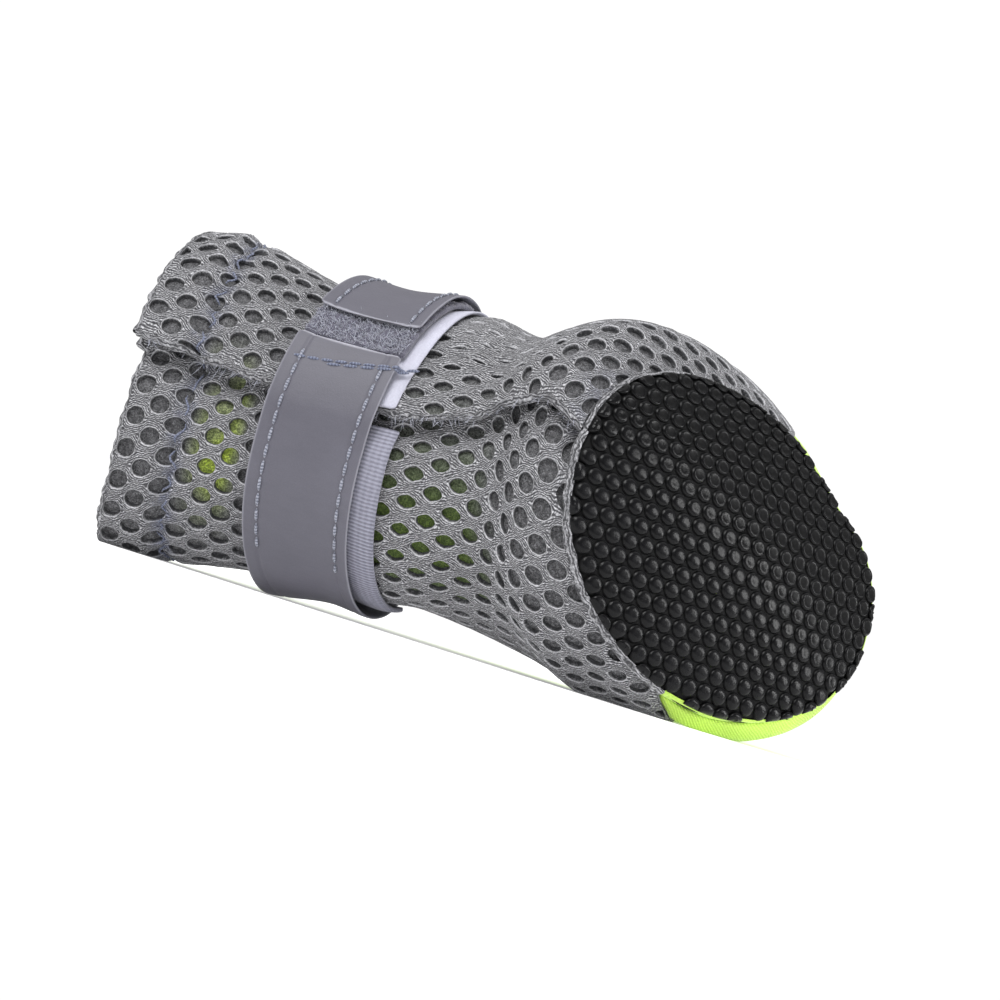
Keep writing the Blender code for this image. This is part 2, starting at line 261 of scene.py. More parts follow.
# Soft creases and swells of the cloth. at, angle: centre; along: half length; across: half
# width, both in mm; turn: direction from round the shaft towards the collar; high: mm outwards
CREASES = [
    dict(at=21.0, angle=34.0, along=11.0, across=1.3, turn=36.0, high=0.28),
    dict(at=18.5, angle=44.0, along=11.0, across=1.2, turn=34.0, high=-0.28),
    dict(at=16.5, angle=82.0, along=7.0, across=4.0, turn=8.0, high=0.60),
    dict(at=11.0, angle=-12.0, along=10.0, across=2.0, turn=10.0, high=-0.6),
    dict(at=14.5, angle=-30.0, along=13.0, across=1.8, turn=-25.0, high=0.45),
    dict(at=19.0, angle=-48.0, along=12.0, across=2.6, turn=-30.0, high=-0.4),
    dict(at=52.0, angle=-40.0, along=9.0, across=3.0, turn=80.0, high=0.5),
    dict(at=54.0, angle=-8.0, along=9.0, across=2.8, turn=84.0, high=-0.5),
    dict(at=60.0, angle=30.0, along=8.0, across=3.5, turn=75.0, high=0.6),
    dict(at=18.0, angle=180.0, along=16.0, across=2.6, turn=6.0, high=-1.0),
    dict(at=22.5, angle=172.0, along=15.0, across=2.2, turn=-4.0, high=0.7),
    dict(at=14.0, angle=190.0, along=14.0, across=1.6, turn=8.0, high=0.6),
]
mm_per_degree = 0.37
hem_seam = 59.2


def seam_at(angle):
    """Where the hem's stitched seam runs, a little unevenly."""
    around = from_back(angle) * mm_per_degree
    return hem_seam + 0.30 * np.sin(around * 0.9) + 0.22 * np.sin(around * 2.3 + 1.0)


def creases(distance, angle):
    total = np.zeros(np.broadcast(distance, angle).shape)
    around = from_back(angle) * mm_per_degree
    pucker = 0.75 + 0.25 * np.cos(around * 2 * math.pi / 3.1) + 0.12 * np.sin(around * 1.37)
    seam = -1.05 * pucker * np.exp(-((distance - seam_at(angle)) / 1.0) ** 2)
    seam = seam + 0.30 * np.exp(-((distance - hem_seam - 3.4) / 2.2) ** 2)
    calm = smooth_step((from_back(np.asarray(angle) - section(distance)[..., EDGE]) + 2.0) / 26.0)
    calm = np.where(np.asarray(angle) > 200.0, 1.0, calm)
    for row in CREASES:
        around = from_back(np.asarray(angle) - row["angle"]) * mm_per_degree
        up = distance - row["at"]
        cosine, sine = math.cos(math.radians(row["turn"])), math.sin(math.radians(row["turn"]))
        along = around * cosine + up * sine
        across = up * cosine - around * sine
        total = total + row["high"] * np.exp(-(along / row["along"]) ** 2 - (across / row["across"]) ** 2)
    return total * calm + seam


def cloth_out(distance, angle):
    """How far the mesh stands off the last, and the hem's own share of it."""
    row = section(distance)
    hem = hem_fold * smooth_step((distance - hem_start) / 0.8)
    out = hem + flap_rise(row[..., EDGE], row[..., LIFT], angle)
    out = out - flap_dip(row[..., EDGE], angle) * (1.0 + hem / flap_sink)
    return out + creases(distance, angle), hem


def cloth(distance, angle, depth):
    out, hem = cloth_out(distance, angle)
    return layer(distance, angle, out - depth, hem)


def plate_edge(angles):
    rim = last_surface(np.full(len(angles), ROWS[0, 0]), angles)
    centre = np.array([(rim[:, 0].max() + rim[:, 0].min()) / 2, 0.0, 0.0])
    return rim, centre


def own_offset():
    """The part's origin, found from where its sole lies."""
    rim = plate_edge(np.arange(48) * 7.5)[0]
    rim[:, 2] = 0.0
    lying = np.concatenate([to_floor(rim, 0.0), to_floor(rim - [0.0, 0.0, sole_thickness], 0.0)])
    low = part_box("sole")[0]
    return np.array([lying[:, 0].min() * MM - low.x, lying[:, 1].min() * MM - low.y, 0.0])


middle = own_offset()


def make(name, points, faces, look, node, values=None, smooth=True):
    """A mesh piece from points in mm and lists of faces, with named numbers at its points."""
    mesh = bpy.data.meshes.new(name)
    flat = [face for group in faces for face in np.asarray(group).tolist()]
    mesh.from_pydata((np.asarray(points) * MM - middle).tolist(), [], flat)
    for key, numbers in (values or {}).items():
        mesh.attributes.new(key, "FLOAT", "POINT").data.foreach_set("value", np.asarray(numbers, np.float32))
    mesh.polygons.foreach_set("use_smooth", np.full(len(mesh.polygons), smooth))
    piece = bpy.data.objects.new(name, mesh)
    bpy.context.scene.collection.objects.link(piece)
    mesh.materials.append(look)
    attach(piece, "root")
    if node:
        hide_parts(node)
    return piece


def grid_faces(rows, columns, offset=0, ring=False):
    i, j = np.meshgrid(np.arange(rows - 1), np.arange(columns if ring else columns - 1), indexing="ij")
    k = (j + 1) % columns
    faces = np.stack([i * columns + j, i * columns + k, (i + 1) * columns + k, (i + 1) * columns + j], -1)
    return faces.reshape(-1, 4) + offset


def ripple(a, b, seed, size):
    """A smooth wavering number near 0 to 1 in size at two coordinates."""
    draw = np.random.default_rng(seed)
    total = np.zeros(np.broadcast(a, b).shape)
    for _ in range(6):
        p, q = draw.normal(0.0, 1.0, 2) / size
        total = total + np.sin(a * p + b * q + draw.uniform(0.0, 6.3))
    return total / 2.5


# Materials
class Look:
    def __init__(self, name, roughness=0.8):
        self.material = bpy.data.materials.new(name)
        self.material.use_nodes = True
        self.tree = self.material.node_tree
        self.shader = self.tree.nodes["Principled BSDF"]
        self.shader.inputs["Roughness"].default_value = roughness
        self.place = self.tree.nodes.new("ShaderNodeTexCoord").outputs["Object"]

    def put(self, socket, value):
        if isinstance(value, bpy.types.NodeSocket):
            self.tree.links.new(value, socket)
        else:
            socket.default_value = value

    def math(self, operation, a, b=0.0, c=0.0):
        node = self.tree.nodes.new("ShaderNodeMath")
        node.operation = operation
        for socket, value in zip(node.inputs, (a, b, c)):
            self.put(socket, value)
        return node.outputs[0]

    def value(self, name):
        node = self.tree.nodes.new("ShaderNodeAttribute")
        node.attribute_name = name
        return node.outputs["Fac"]

    def noise(self, size, detail=2.0, rough=0.5, seed=0.0, stretch=None):
        place = self.place
        if seed or stretch:
            mapping = self.tree.nodes.new("ShaderNodeMapping")
            self.put(mapping.inputs["Vector"], place)
            mapping.inputs["Location"].default_value = (seed, seed * 0.7, seed * 0.3)
            mapping.inputs["Scale"].default_value = stretch or (1.0, 1.0, 1.0)
            place = mapping.outputs[0]
        node = self.tree.nodes.new("ShaderNodeTexNoise")
        self.put(node.inputs["Vector"], place)
        node.inputs["Scale"].default_value = 1.0 / (size * MM)
        node.inputs["Detail"].default_value = detail
        node.inputs["Roughness"].default_value = rough
        return node.outputs["Fac"]

    def cells(self, size, feature="F1"):
        node = self.tree.nodes.new("ShaderNodeTexVoronoi")
        node.feature = feature
        self.put(node.inputs["Vector"], self.place)
        node.inputs["Scale"].default_value = 1.0 / (size * MM)
        return node.outputs["Distance"]

    def ramp(self, value, low, high, to_low=0.0, to_high=1.0):
        node = self.tree.nodes.new("ShaderNodeMapRange")
        for socket, number in zip(node.inputs, (value, low, high, to_low, to_high)):
            self.put(socket, number)
        return node.outputs[0]

    def wave(self, phase):
        """0 to 1 with a top at whole numbers."""
        return self.math("MULTIPLY_ADD", self.math("COSINE", self.math("MULTIPLY", phase, 2 * math.pi)), 0.5, 0.5)

    def mix(self, share, a, b):
        node = self.tree.nodes.new("ShaderNodeMix")
        node.data_type = "RGBA"
        self.put(node.inputs[0], share)
        for socket, colour in ((node.inputs[6], a), (node.inputs[7], b)):
            self.put(socket, (*colour, 1.0) if isinstance(colour, tuple) else colour)
        return node.outputs[2]

    def scale(self, colour, share):
        node = self.tree.nodes.new("ShaderNodeVectorMath")
        node.operation = "SCALE"
        self.put(node.inputs[0], colour)
        self.put(node.inputs["Scale"], share)
        return node.outputs[0]

    def colour(self, value):
        self.put(self.shader.inputs["Base Color"], value)

    def rough(self, value):
        self.put(self.shader.inputs["Roughness"], value)

    def bump(self, height, depth, strength=1.0):
        node = self.tree.nodes.new("ShaderNodeBump")
        node.inputs["Strength"].default_value = strength
        node.inputs["Distance"].default_value = depth * MM
        self.put(node.inputs["Height"], height)
        self.put(self.shader.inputs["Normal"], node.outputs[0])

    def constant(self, **values):
        for key, number in values.items():
            self.shader.inputs[key.replace("_", " ")].default_value = number


def mesh_look():
    """Twisted strands that part round the holes, with a pale strand along each rim. Painted shade and highlight: the
    gaps between strands and the hole walls are painted dark, and the strand crests, twists and rim strands are painted
    light.
    """
    look = Look("mesh_strands", 0.75)
    flow, along, ring = look.value("flow"), look.value("along"), look.value("ring")
    sway = look.math("ADD", look.math("MULTIPLY", look.noise(1.6, 2.0), 1.6),
                     look.math("MULTIPLY", look.noise(0.6, 2.0, seed=2.0), 1.2))
    phase = look.math("ADD", flow, sway)
    strand = look.wave(phase)
    turn = look.math("ADD", look.math("MULTIPLY", along, 1.15), look.math("MULTIPLY", phase, 0.55))
    turn = look.math("ADD", turn, look.math("MULTIPLY", look.noise(0.9, 1.0, seed=3.0), 3.0))
    twist = look.wave(turn)
    grain = look.noise(0.26, 2.0, 0.6)
    # The pale strand along each hole's rim, painted at full brightness: partly a real strand, partly a painted
    # highlight
    rim = look.math("MULTIPLY", look.ramp(ring, 0.0, 0.06), look.ramp(ring, 0.22, 0.10))
    height = look.math("MULTIPLY", strand, look.ramp(twist, 0.0, 1.0, 0.55, 1.0))
    height = look.math("MAXIMUM", height, rim)
    height = look.math("ADD", height, look.math("MULTIPLY", grain, 0.45))
    # Painted highlight and shade: strand crests and the lit turn of each twist are painted pale, the gaps between
    # strands near black, over a real grain
    bright = look.math("MULTIPLY", look.ramp(strand, 0.25, 0.80), look.ramp(twist, 0.1, 0.9, 0.30, 1.0))
    bright = look.math("MAXIMUM", bright, rim)
    bright = look.math("MULTIPLY", bright, look.ramp(grain, 0.34, 0.60, 0.55, 1.2))
    pale = look.mix(look.noise(9.0, 2.0, seed=5.0), (0.46, 0.46, 0.485), (0.64, 0.64, 0.67))
    colour = look.mix(bright, (0.042, 0.042, 0.048), pale)
    blue = look.math("MULTIPLY", look.value("thread"), look.ramp(look.noise(1.3, 2.0, seed=8.0), 0.30, 0.62))
    colour = look.mix(look.math("MULTIPLY", blue, 0.72), colour, look.mix(bright, (0.045, 0.05, 0.08), (0.24, 0.26, 0.38)))
    # Painted shade: the hole walls turn near black with depth
    inside = look.ramp(look.value("depth"), 0.20, 0.65)
    colour = look.mix(look.math("MULTIPLY", inside, 0.88), colour, (0.035, 0.036, 0.04))
    look.colour(colour)
    look.bump(height, 0.20)
    look.constant(Sheen_Weight=0.12, Sheen_Roughness=0.5)
    return look.material


def back_look():
    """The finer inner face, dark and speckled, with lime showing through, and a bright lime patch painted as light
    where the light comes in.
    """
    look = Look("mesh_back", 0.85)
    speckle = look.cells(0.50)
    fine = look.noise(0.22, 3.0, 0.7)
    coarse = look.noise(0.75, 3.0, 0.65, seed=9.0)
    thread = look.math("MULTIPLY", look.ramp(speckle, 0.02, 0.34), look.ramp(fine, 0.40, 0.60, 0.25, 1.0))
    thread = look.math("MULTIPLY", thread, look.ramp(coarse, 0.38, 0.62, 0.30, 1.35))
    grey = look.mix(thread, (0.020, 0.020, 0.022), (0.275, 0.275, 0.29))
    green = look.mix(thread, (0.030, 0.050, 0.012), (0.16, 0.24, 0.05))
    # Painted light: bright lime where light comes in below the collar, set by the lit attribute
    bright = look.mix(thread, (0.06, 0.09, 0.015), (0.72, 0.92, 0.12))
    colour = look.mix(look.value("green"), grey, green)
    colour = look.mix(look.value("lit"), colour, bright)
    look.colour(colour)
    look.bump(look.math("ADD", thread, fine), 0.15)
    return look.material


def edge_look():
    """Folded and cut edges of the mesh: close strands running along the edge, with their gaps painted dark as shade
    and their crests and twists painted light as highlights.
    """
    look = Look("mesh_edge", 0.8)
    flow = look.math("ADD", look.value("flow"), look.math("MULTIPLY", look.noise(1.3, 3.0), 3.2))
    strand = look.wave(flow)
    twist = look.wave(look.math("ADD", look.math("MULTIPLY", look.value("along"), 1.5), flow))
    grain = look.noise(0.28, 2.0, 0.6)
    clump = look.noise(1.3, 2.0, seed=4.0)
    # Painted highlight and shade: strand crests and twists pale, gaps near black, with real grain and clumps
    bright = look.math("MULTIPLY", look.ramp(strand, 0.1, 0.9), look.ramp(twist, 0.0, 1.0, 0.6, 1.0))
    bright = look.math("MULTIPLY", bright, look.ramp(grain, 0.3, 0.6, 0.65, 1.1))
    bright = look.math("MULTIPLY", bright, look.ramp(clump, 0.35, 0.6, 0.45, 1.0))
    look.colour(look.mix(bright, (0.035, 0.035, 0.040), (0.52, 0.52, 0.55)))
    look.bump(look.math("ADD", look.math("MULTIPLY", strand, twist), grain), 0.2)
    look.constant(Sheen_Weight=0.12)
    return look.material


def knit_look():
    """Lime knit with a fine diagonal twill."""
    look = Look("lime_knit", 0.72)
    u, v = look.value("along"), look.value("around")
    sway = look.math("MULTIPLY", look.noise(4.0, 1.0), 1.5)
    rib = look.wave(look.math("ADD", look.math("MULTIPLY", look.math("ADD", u, v), 2.3), sway))
    stitch = look.wave(look.math("MULTIPLY", look.math("SUBTRACT", u, look.math("MULTIPLY", v, 0.4)), 2.6))
    grain = look.noise(0.3, 2.0, 0.6)
    weave = look.math("MULTIPLY", rib, look.ramp(stitch, 0.0, 1.0, 0.6, 1.0))
    tone = look.math("ADD", look.math("MULTIPLY", weave, 0.6), look.math("MULTIPLY", grain, 0.5))
    colour = look.mix(look.ramp(tone, 0.15, 0.85), (0.40, 0.63, 0.06), (0.60, 0.86, 0.13))
    broad = look.ramp(look.noise(14.0, 2.0, seed=2.0), 0.3, 0.7, 0.86, 1.06)
    look.colour(look.scale(colour, broad))
    look.bump(tone, 0.12)
    look.constant(Sheen_Weight=0.25, Sheen_Roughness=0.4)
    return look.material


def sole_look():
    """Black moulded rubber, satin on the domes and matte between them, with fine dust all over; the dome tops are
    painted lighter as a highlight and the gaps and dimple centres darker as painted shade.
    """
    look = Look("sole_rubber", 0.34)
    top = look.value("top")
    fine = look.noise(0.25, 2.0, 0.6)
    broad = look.noise(11.0, 3.0)
    # Painted highlight and shade: the higher up a dome, the lighter; the gaps and dimple centres darkest
    tone = look.mix(look.math("MULTIPLY", top, look.ramp(broad, 0.3, 0.7, 0.4, 1.0)),
                    (0.0008, 0.0008, 0.001), (0.0045, 0.0045, 0.0055))
    dust = look.math("MULTIPLY", look.ramp(fine, 0.58, 0.75), 0.12)
    look.colour(look.mix(dust, tone, (0.03, 0.03, 0.035)))
    satin = look.math("ADD", look.ramp(broad, 0.3, 0.7, 0.14, 0.22), look.math("MULTIPLY", fine, 0.12))
    look.rough(look.math("ADD", satin, look.ramp(top, 0.05, 0.5, 0.40, 0.0)))
    look.bump(fine, 0.02)
    look.constant(Specular_IOR_Level=0.155)
    return look.material


def felt_look():
    look = Look("insole_felt", 0.95)
    fine = look.noise(0.5, 3.0, 0.7)
    fibre = look.noise(0.3, 2.0, 0.6, seed=6.0, stretch=(1.0, 0.25, 1.0))
    tone = look.math("ADD", look.math("MULTIPLY", fine, 0.6), look.math("MULTIPLY", fibre, 0.4))
    look.colour(look.mix(look.ramp(tone, 0.3, 0.7), (0.07, 0.07, 0.075), (0.20, 0.20, 0.215)))
    look.bump(tone, 0.25)
    look.constant(Sheen_Weight=0.3)
    return look.material


def tape_look():
    """Silver-grey reflective face with a pale cut edge and a woven back."""
    look = Look("reflective_tape", 0.42)
    beads = look.noise(0.12, 1.0)
    broad = look.noise(12.0, 3.0, 0.55)
    line = look.noise(0.7, 2.0, seed=9.0, stretch=(0.12, 1.0, 1.0))
    tone = look.math("ADD", look.ramp(broad, 0.3, 0.7, 0.93, 1.07), look.ramp(line, 0.3, 0.7, -0.02, 0.02))
    face = look.scale(look.mix(beads, (0.077, 0.075, 0.094), (0.105, 0.102, 0.128)), tone)
    edge = look.value("edge")
    under = look.value("under")
    weave = look.noise(0.35, 2.0, 0.6)
    white = look.mix(weave, (0.30, 0.30, 0.35), (0.46, 0.46, 0.51))
    lining = look.mix(weave, (0.16, 0.16, 0.19), (0.30, 0.30, 0.34))
    colour = look.mix(edge, face, white)
    look.colour(look.mix(under, colour, lining))
    look.rough(look.ramp(look.math("MAXIMUM", edge, under), 0.0, 1.0, 0.52, 0.8))
    look.bump(look.math("ADD", look.math("MULTIPLY", beads, 0.5), weave), 0.03)
    look.constant(Specular_IOR_Level=0.40)
    return look.material


def webbing_look():
    """Ribbed lilac-white webbing."""
    look = Look("ribbed_webbing", 0.75)
    rib, cross = look.value("rib"), look.value("cross")
    sway = look.math("MULTIPLY", look.noise(2.2, 2.0), 0.35)
    ribs = look.wave(look.math("ADD", rib, sway))
    lines = look.wave(look.math("ADD", cross, sway))
    grain = look.noise(0.3, 2.0, 0.6)
    tone = look.math("ADD", look.math("MULTIPLY", ribs, 0.5), look.math("MULTIPLY", lines, 0.12))
    tone = look.math("ADD", tone, look.math("MULTIPLY", grain, 0.45))
    look.colour(look.mix(look.ramp(tone, 0.2, 0.9), (0.13, 0.13, 0.17), (0.32, 0.32, 0.39)))
    look.bump(tone, 0.10)
    look.constant(Sheen_Weight=0.15)
    return look.material


def satin_look():
    """The smooth woven lilac tape that carries the loops."""
    look = Look("lilac_tape", 0.6)
    weave = look.noise(0.25, 2.0, 0.6, stretch=(1.0, 0.3, 1.0))
    broad = look.noise(6.0, 2.0)
    tone = look.ramp(broad, 0.3, 0.7, 0.92, 1.06)
    look.colour(look.scale(look.mix(weave, (0.36, 0.36, 0.44), (0.52, 0.52, 0.61)), tone))
    look.bump(weave, 0.04)
    look.constant(Sheen_Weight=0.2)
    return look.material


def pile_look():
    look = Look("loop_pile", 0.9)
    grain = look.noise(0.35, 3.0, 0.7)
    clump = look.noise(1.6, 2.0, seed=5.0)
    tone = look.math("ADD", look.math("MULTIPLY", grain, 0.7), look.math("MULTIPLY", clump, 0.4))
    look.colour(look.mix(look.ramp(tone, 0.3, 0.8), (0.028, 0.027, 0.040), (0.165, 0.160, 0.215)))
    look.bump(tone, 0.3)
    look.constant(Sheen_Weight=0.4)
    return look.material


def thread_look(name, dark, light):
    look = Look(name, 0.6)
    twist = look.wave(look.math("ADD", look.math("MULTIPLY", look.value("along"), 2.2), look.noise(0.5, 1.0)))
    # Painted highlight and shade: lighter and darker turns of the twist along the thread
    look.colour(look.mix(twist, dark, light))
    look.bump(twist, 0.05)
    look.constant(Sheen_Weight=0.2)
    return look.material


mesh_face = mesh_look()
mesh_back = back_look()
mesh_edge = edge_look()
knit = knit_look()
rubber = sole_look()
felt = felt_look()
reflective = tape_look()
webbing = webbing_look()
satin = satin_look()
pile = pile_look()
slate_thread = thread_look("slate_thread", (0.07, 0.08, 0.13), (0.17, 0.19, 0.27))
grey_thread = thread_look("grey_thread", (0.09, 0.10, 0.14), (0.30, 0.31, 0.37))
fuzz_fibre = thread_look("fuzz_fibre", (0.28, 0.29, 0.36), (0.50, 0.51, 0.58))

# The open mesh. Cloth sizes in mm: round the shaft and between staggered columns
cell_round = 4.3
cell_column = cell_round * math.sqrt(3.0) / 2.0
hole_column = 1.62
hole_round = 1.10
strand_pitch = 0.47
segments = 24
back_depth = 1.10

# Rings of one cell, from its border to the hole and down into it. share: from hole to border
CELL = [
    dict(share=1.00, depth=0.10),
    dict(share=0.84, depth=0.03),
    dict(share=0.68, depth=0.00),
    dict(share=0.52, depth=0.00),
    dict(share=0.38, depth=0.02),
    dict(share=0.25, depth=0.05),
    dict(share=0.14, depth=0.10),
    dict(share=0.05, depth=0.22),
    dict(share=0.00, depth=0.42),
    dict(share=-0.02, depth=0.75),
    dict(share=-0.06, depth=1.08),
]
wall_from = 8


def stretch(distance, angle):
    """How much the cloth is stretched along the shaft and round it."""
    behind = np.exp(-(from_back(angle) / 55.0) ** 2)
    collar = smooth_step((distance - 34.0) / 20.0)
    bent = np.exp(-((distance - 10.0) / 4.6) ** 2)
    heel = np.exp(-(np.maximum(distance, 0.0) / 5.0) ** 2)
    along = 0.97 - 0.14 * collar - behind * (0.42 * bent + 0.08 * heel) - (1.0 - behind) * 0.12 * (1.0 - smooth_step(distance / 20.0))
    around = 0.965 + 0.17 * collar + behind * 0.50 * np.exp(-((distance - 5.0) / 9.0) ** 2)
    return along, around


def zone_angles(zone, distance):
    row = section(distance)
    if zone == "left":
        return row[..., SEAM_L] + 0.3, 360.0 + row[..., EDGE] + flap_overlap
    return row[..., EDGE] + 1.4, row[..., SEAM_R] - 0.3


zone_low = 0.45
zone_high = shaft_length - 0.7


def lay_flat(zone, rows=52, columns=58, rounds=1500):
    """The zone laid flat by relaxing springs: its grid of cloth coordinates, as a pattern piece."""
    s = np.linspace(zone_low, zone_high, rows)
    first, last = zone_angles(zone, s)
    q = np.linspace(0.0, 1.0, columns)
    angle = first[:, None] * (1 - q) + last[:, None] * q
    distance = np.repeat(s[:, None], columns, 1)
    points = last_surface(distance, angle)
    along, around = stretch(distance, angle)
    up = (points[1:] - points[:-1]) / ((along[1:] + along[:-1]) / 2)[..., None]
    side = (points[:, 1:] - points[:, :-1]) / ((around[:, 1:] + around[:, :-1]) / 2)[..., None]
    length = [np.linalg.norm(v, axis=-1) for v in (
        up, side, up[:, :-1] + side[1:], side[:-1] - up[:, 1:])]
    flat = np.zeros((rows, columns, 2))
    flat[:-1, :, 0] = -np.cumsum(length[0][::-1], axis=0)[::-1]
    flat[:, 1:, 1] = np.cumsum(length[1], axis=1)
    home = np.argmin(np.abs(from_back(angle)), axis=1)
    flat[..., 1] -= flat[np.arange(rows), home, 1][:, None]
    pairs = [(np.s_[:-1, :], np.s_[1:, :]), (np.s_[:, :-1], np.s_[:, 1:]),
             (np.s_[:-1, :-1], np.s_[1:, 1:]), (np.s_[1:, :-1], np.s_[:-1, 1:])]
    lengths = [length[0], length[1], length[2], np.linalg.norm(side[1:] - up[:, 1:], axis=-1)]
    count = np.zeros((rows, columns, 1))
    for a, b in pairs:
        count[a] += 1
        count[b] += 1
    for _ in range(rounds):
        move = np.zeros_like(flat)
        for (a, b), want in zip(pairs, lengths):
            gap = flat[b] - flat[a]
            size = np.linalg.norm(gap, axis=-1)
            push = gap * ((size - want) / size / 2)[..., None]
            move[a] += push
            move[b] -= push
        flat += move / count * 1.7
    low, high = np.searchsorted(s, 30.0), np.searchsorted(s, 60.0)
    line = flat[high, home[high]] - flat[low, home[low]]
    line /= np.linalg.norm(line)
    flat = (flat - flat[low, home[low]]) @ np.array([[line[0], -line[1]], [line[1], line[0]]])
    flat[..., 0] += s[low]
    return flat


def find_in(flat, points, start):
    """Grid places, as fractional rows and columns, of points of the pattern piece."""
    rows, columns = flat.shape[:2]
    i, j = start
    for _ in range(9):
        i0 = np.clip(np.floor(i).astype(int), 0, rows - 2)
        j0 = np.clip(np.floor(j).astype(int), 0, columns - 2)
        fi, fj = (i - i0)[..., None], (j - j0)[..., None]
        a, b, c, d = flat[i0, j0], flat[i0 + 1, j0], flat[i0, j0 + 1], flat[i0 + 1, j0 + 1]
        miss = points - (a * (1 - fi) * (1 - fj) + b * fi * (1 - fj) + c * (1 - fi) * fj + d * fi * fj)
        di = (b - a) * (1 - fj) + (d - c) * fj
        dj = (c - a) * (1 - fi) + (d - b) * fi
        det = di[..., 0] * dj[..., 1] - di[..., 1] * dj[..., 0]
        det = np.where(np.abs(det) < 1e-6, 1e-6, det)
        step_i = np.clip((miss[..., 0] * dj[..., 1] - miss[..., 1] * dj[..., 0]) / det, -2.0, 2.0)
        step_j = np.clip((di[..., 0] * miss[..., 1] - di[..., 1] * miss[..., 0]) / det, -2.0, 2.0)
        i = np.clip(i + step_i, -4.0, rows + 3.0)
        j = np.clip(j + step_j, -4.0, columns + 3.0)
    return i, j


def hole_size(distance, angle):
    """How open the holes are, from 0 to 1."""
    behind = from_back(angle)
    size = np.ones(np.broadcast(distance, angle).shape)
    strained = smooth_step((behind - 16.0) / 14.0) * smooth_step((115.0 - behind) / 30.0)
    size -= 0.73 * strained * smooth_step((distance - 7.5) / 4.0) * smooth_step((27.0 - distance) / 5.0)
    size -= 0.12 * np.exp(-((behind + 75.0) / 22.0) ** 2) * smooth_step((30.0 - distance) / 10.0)
    return size


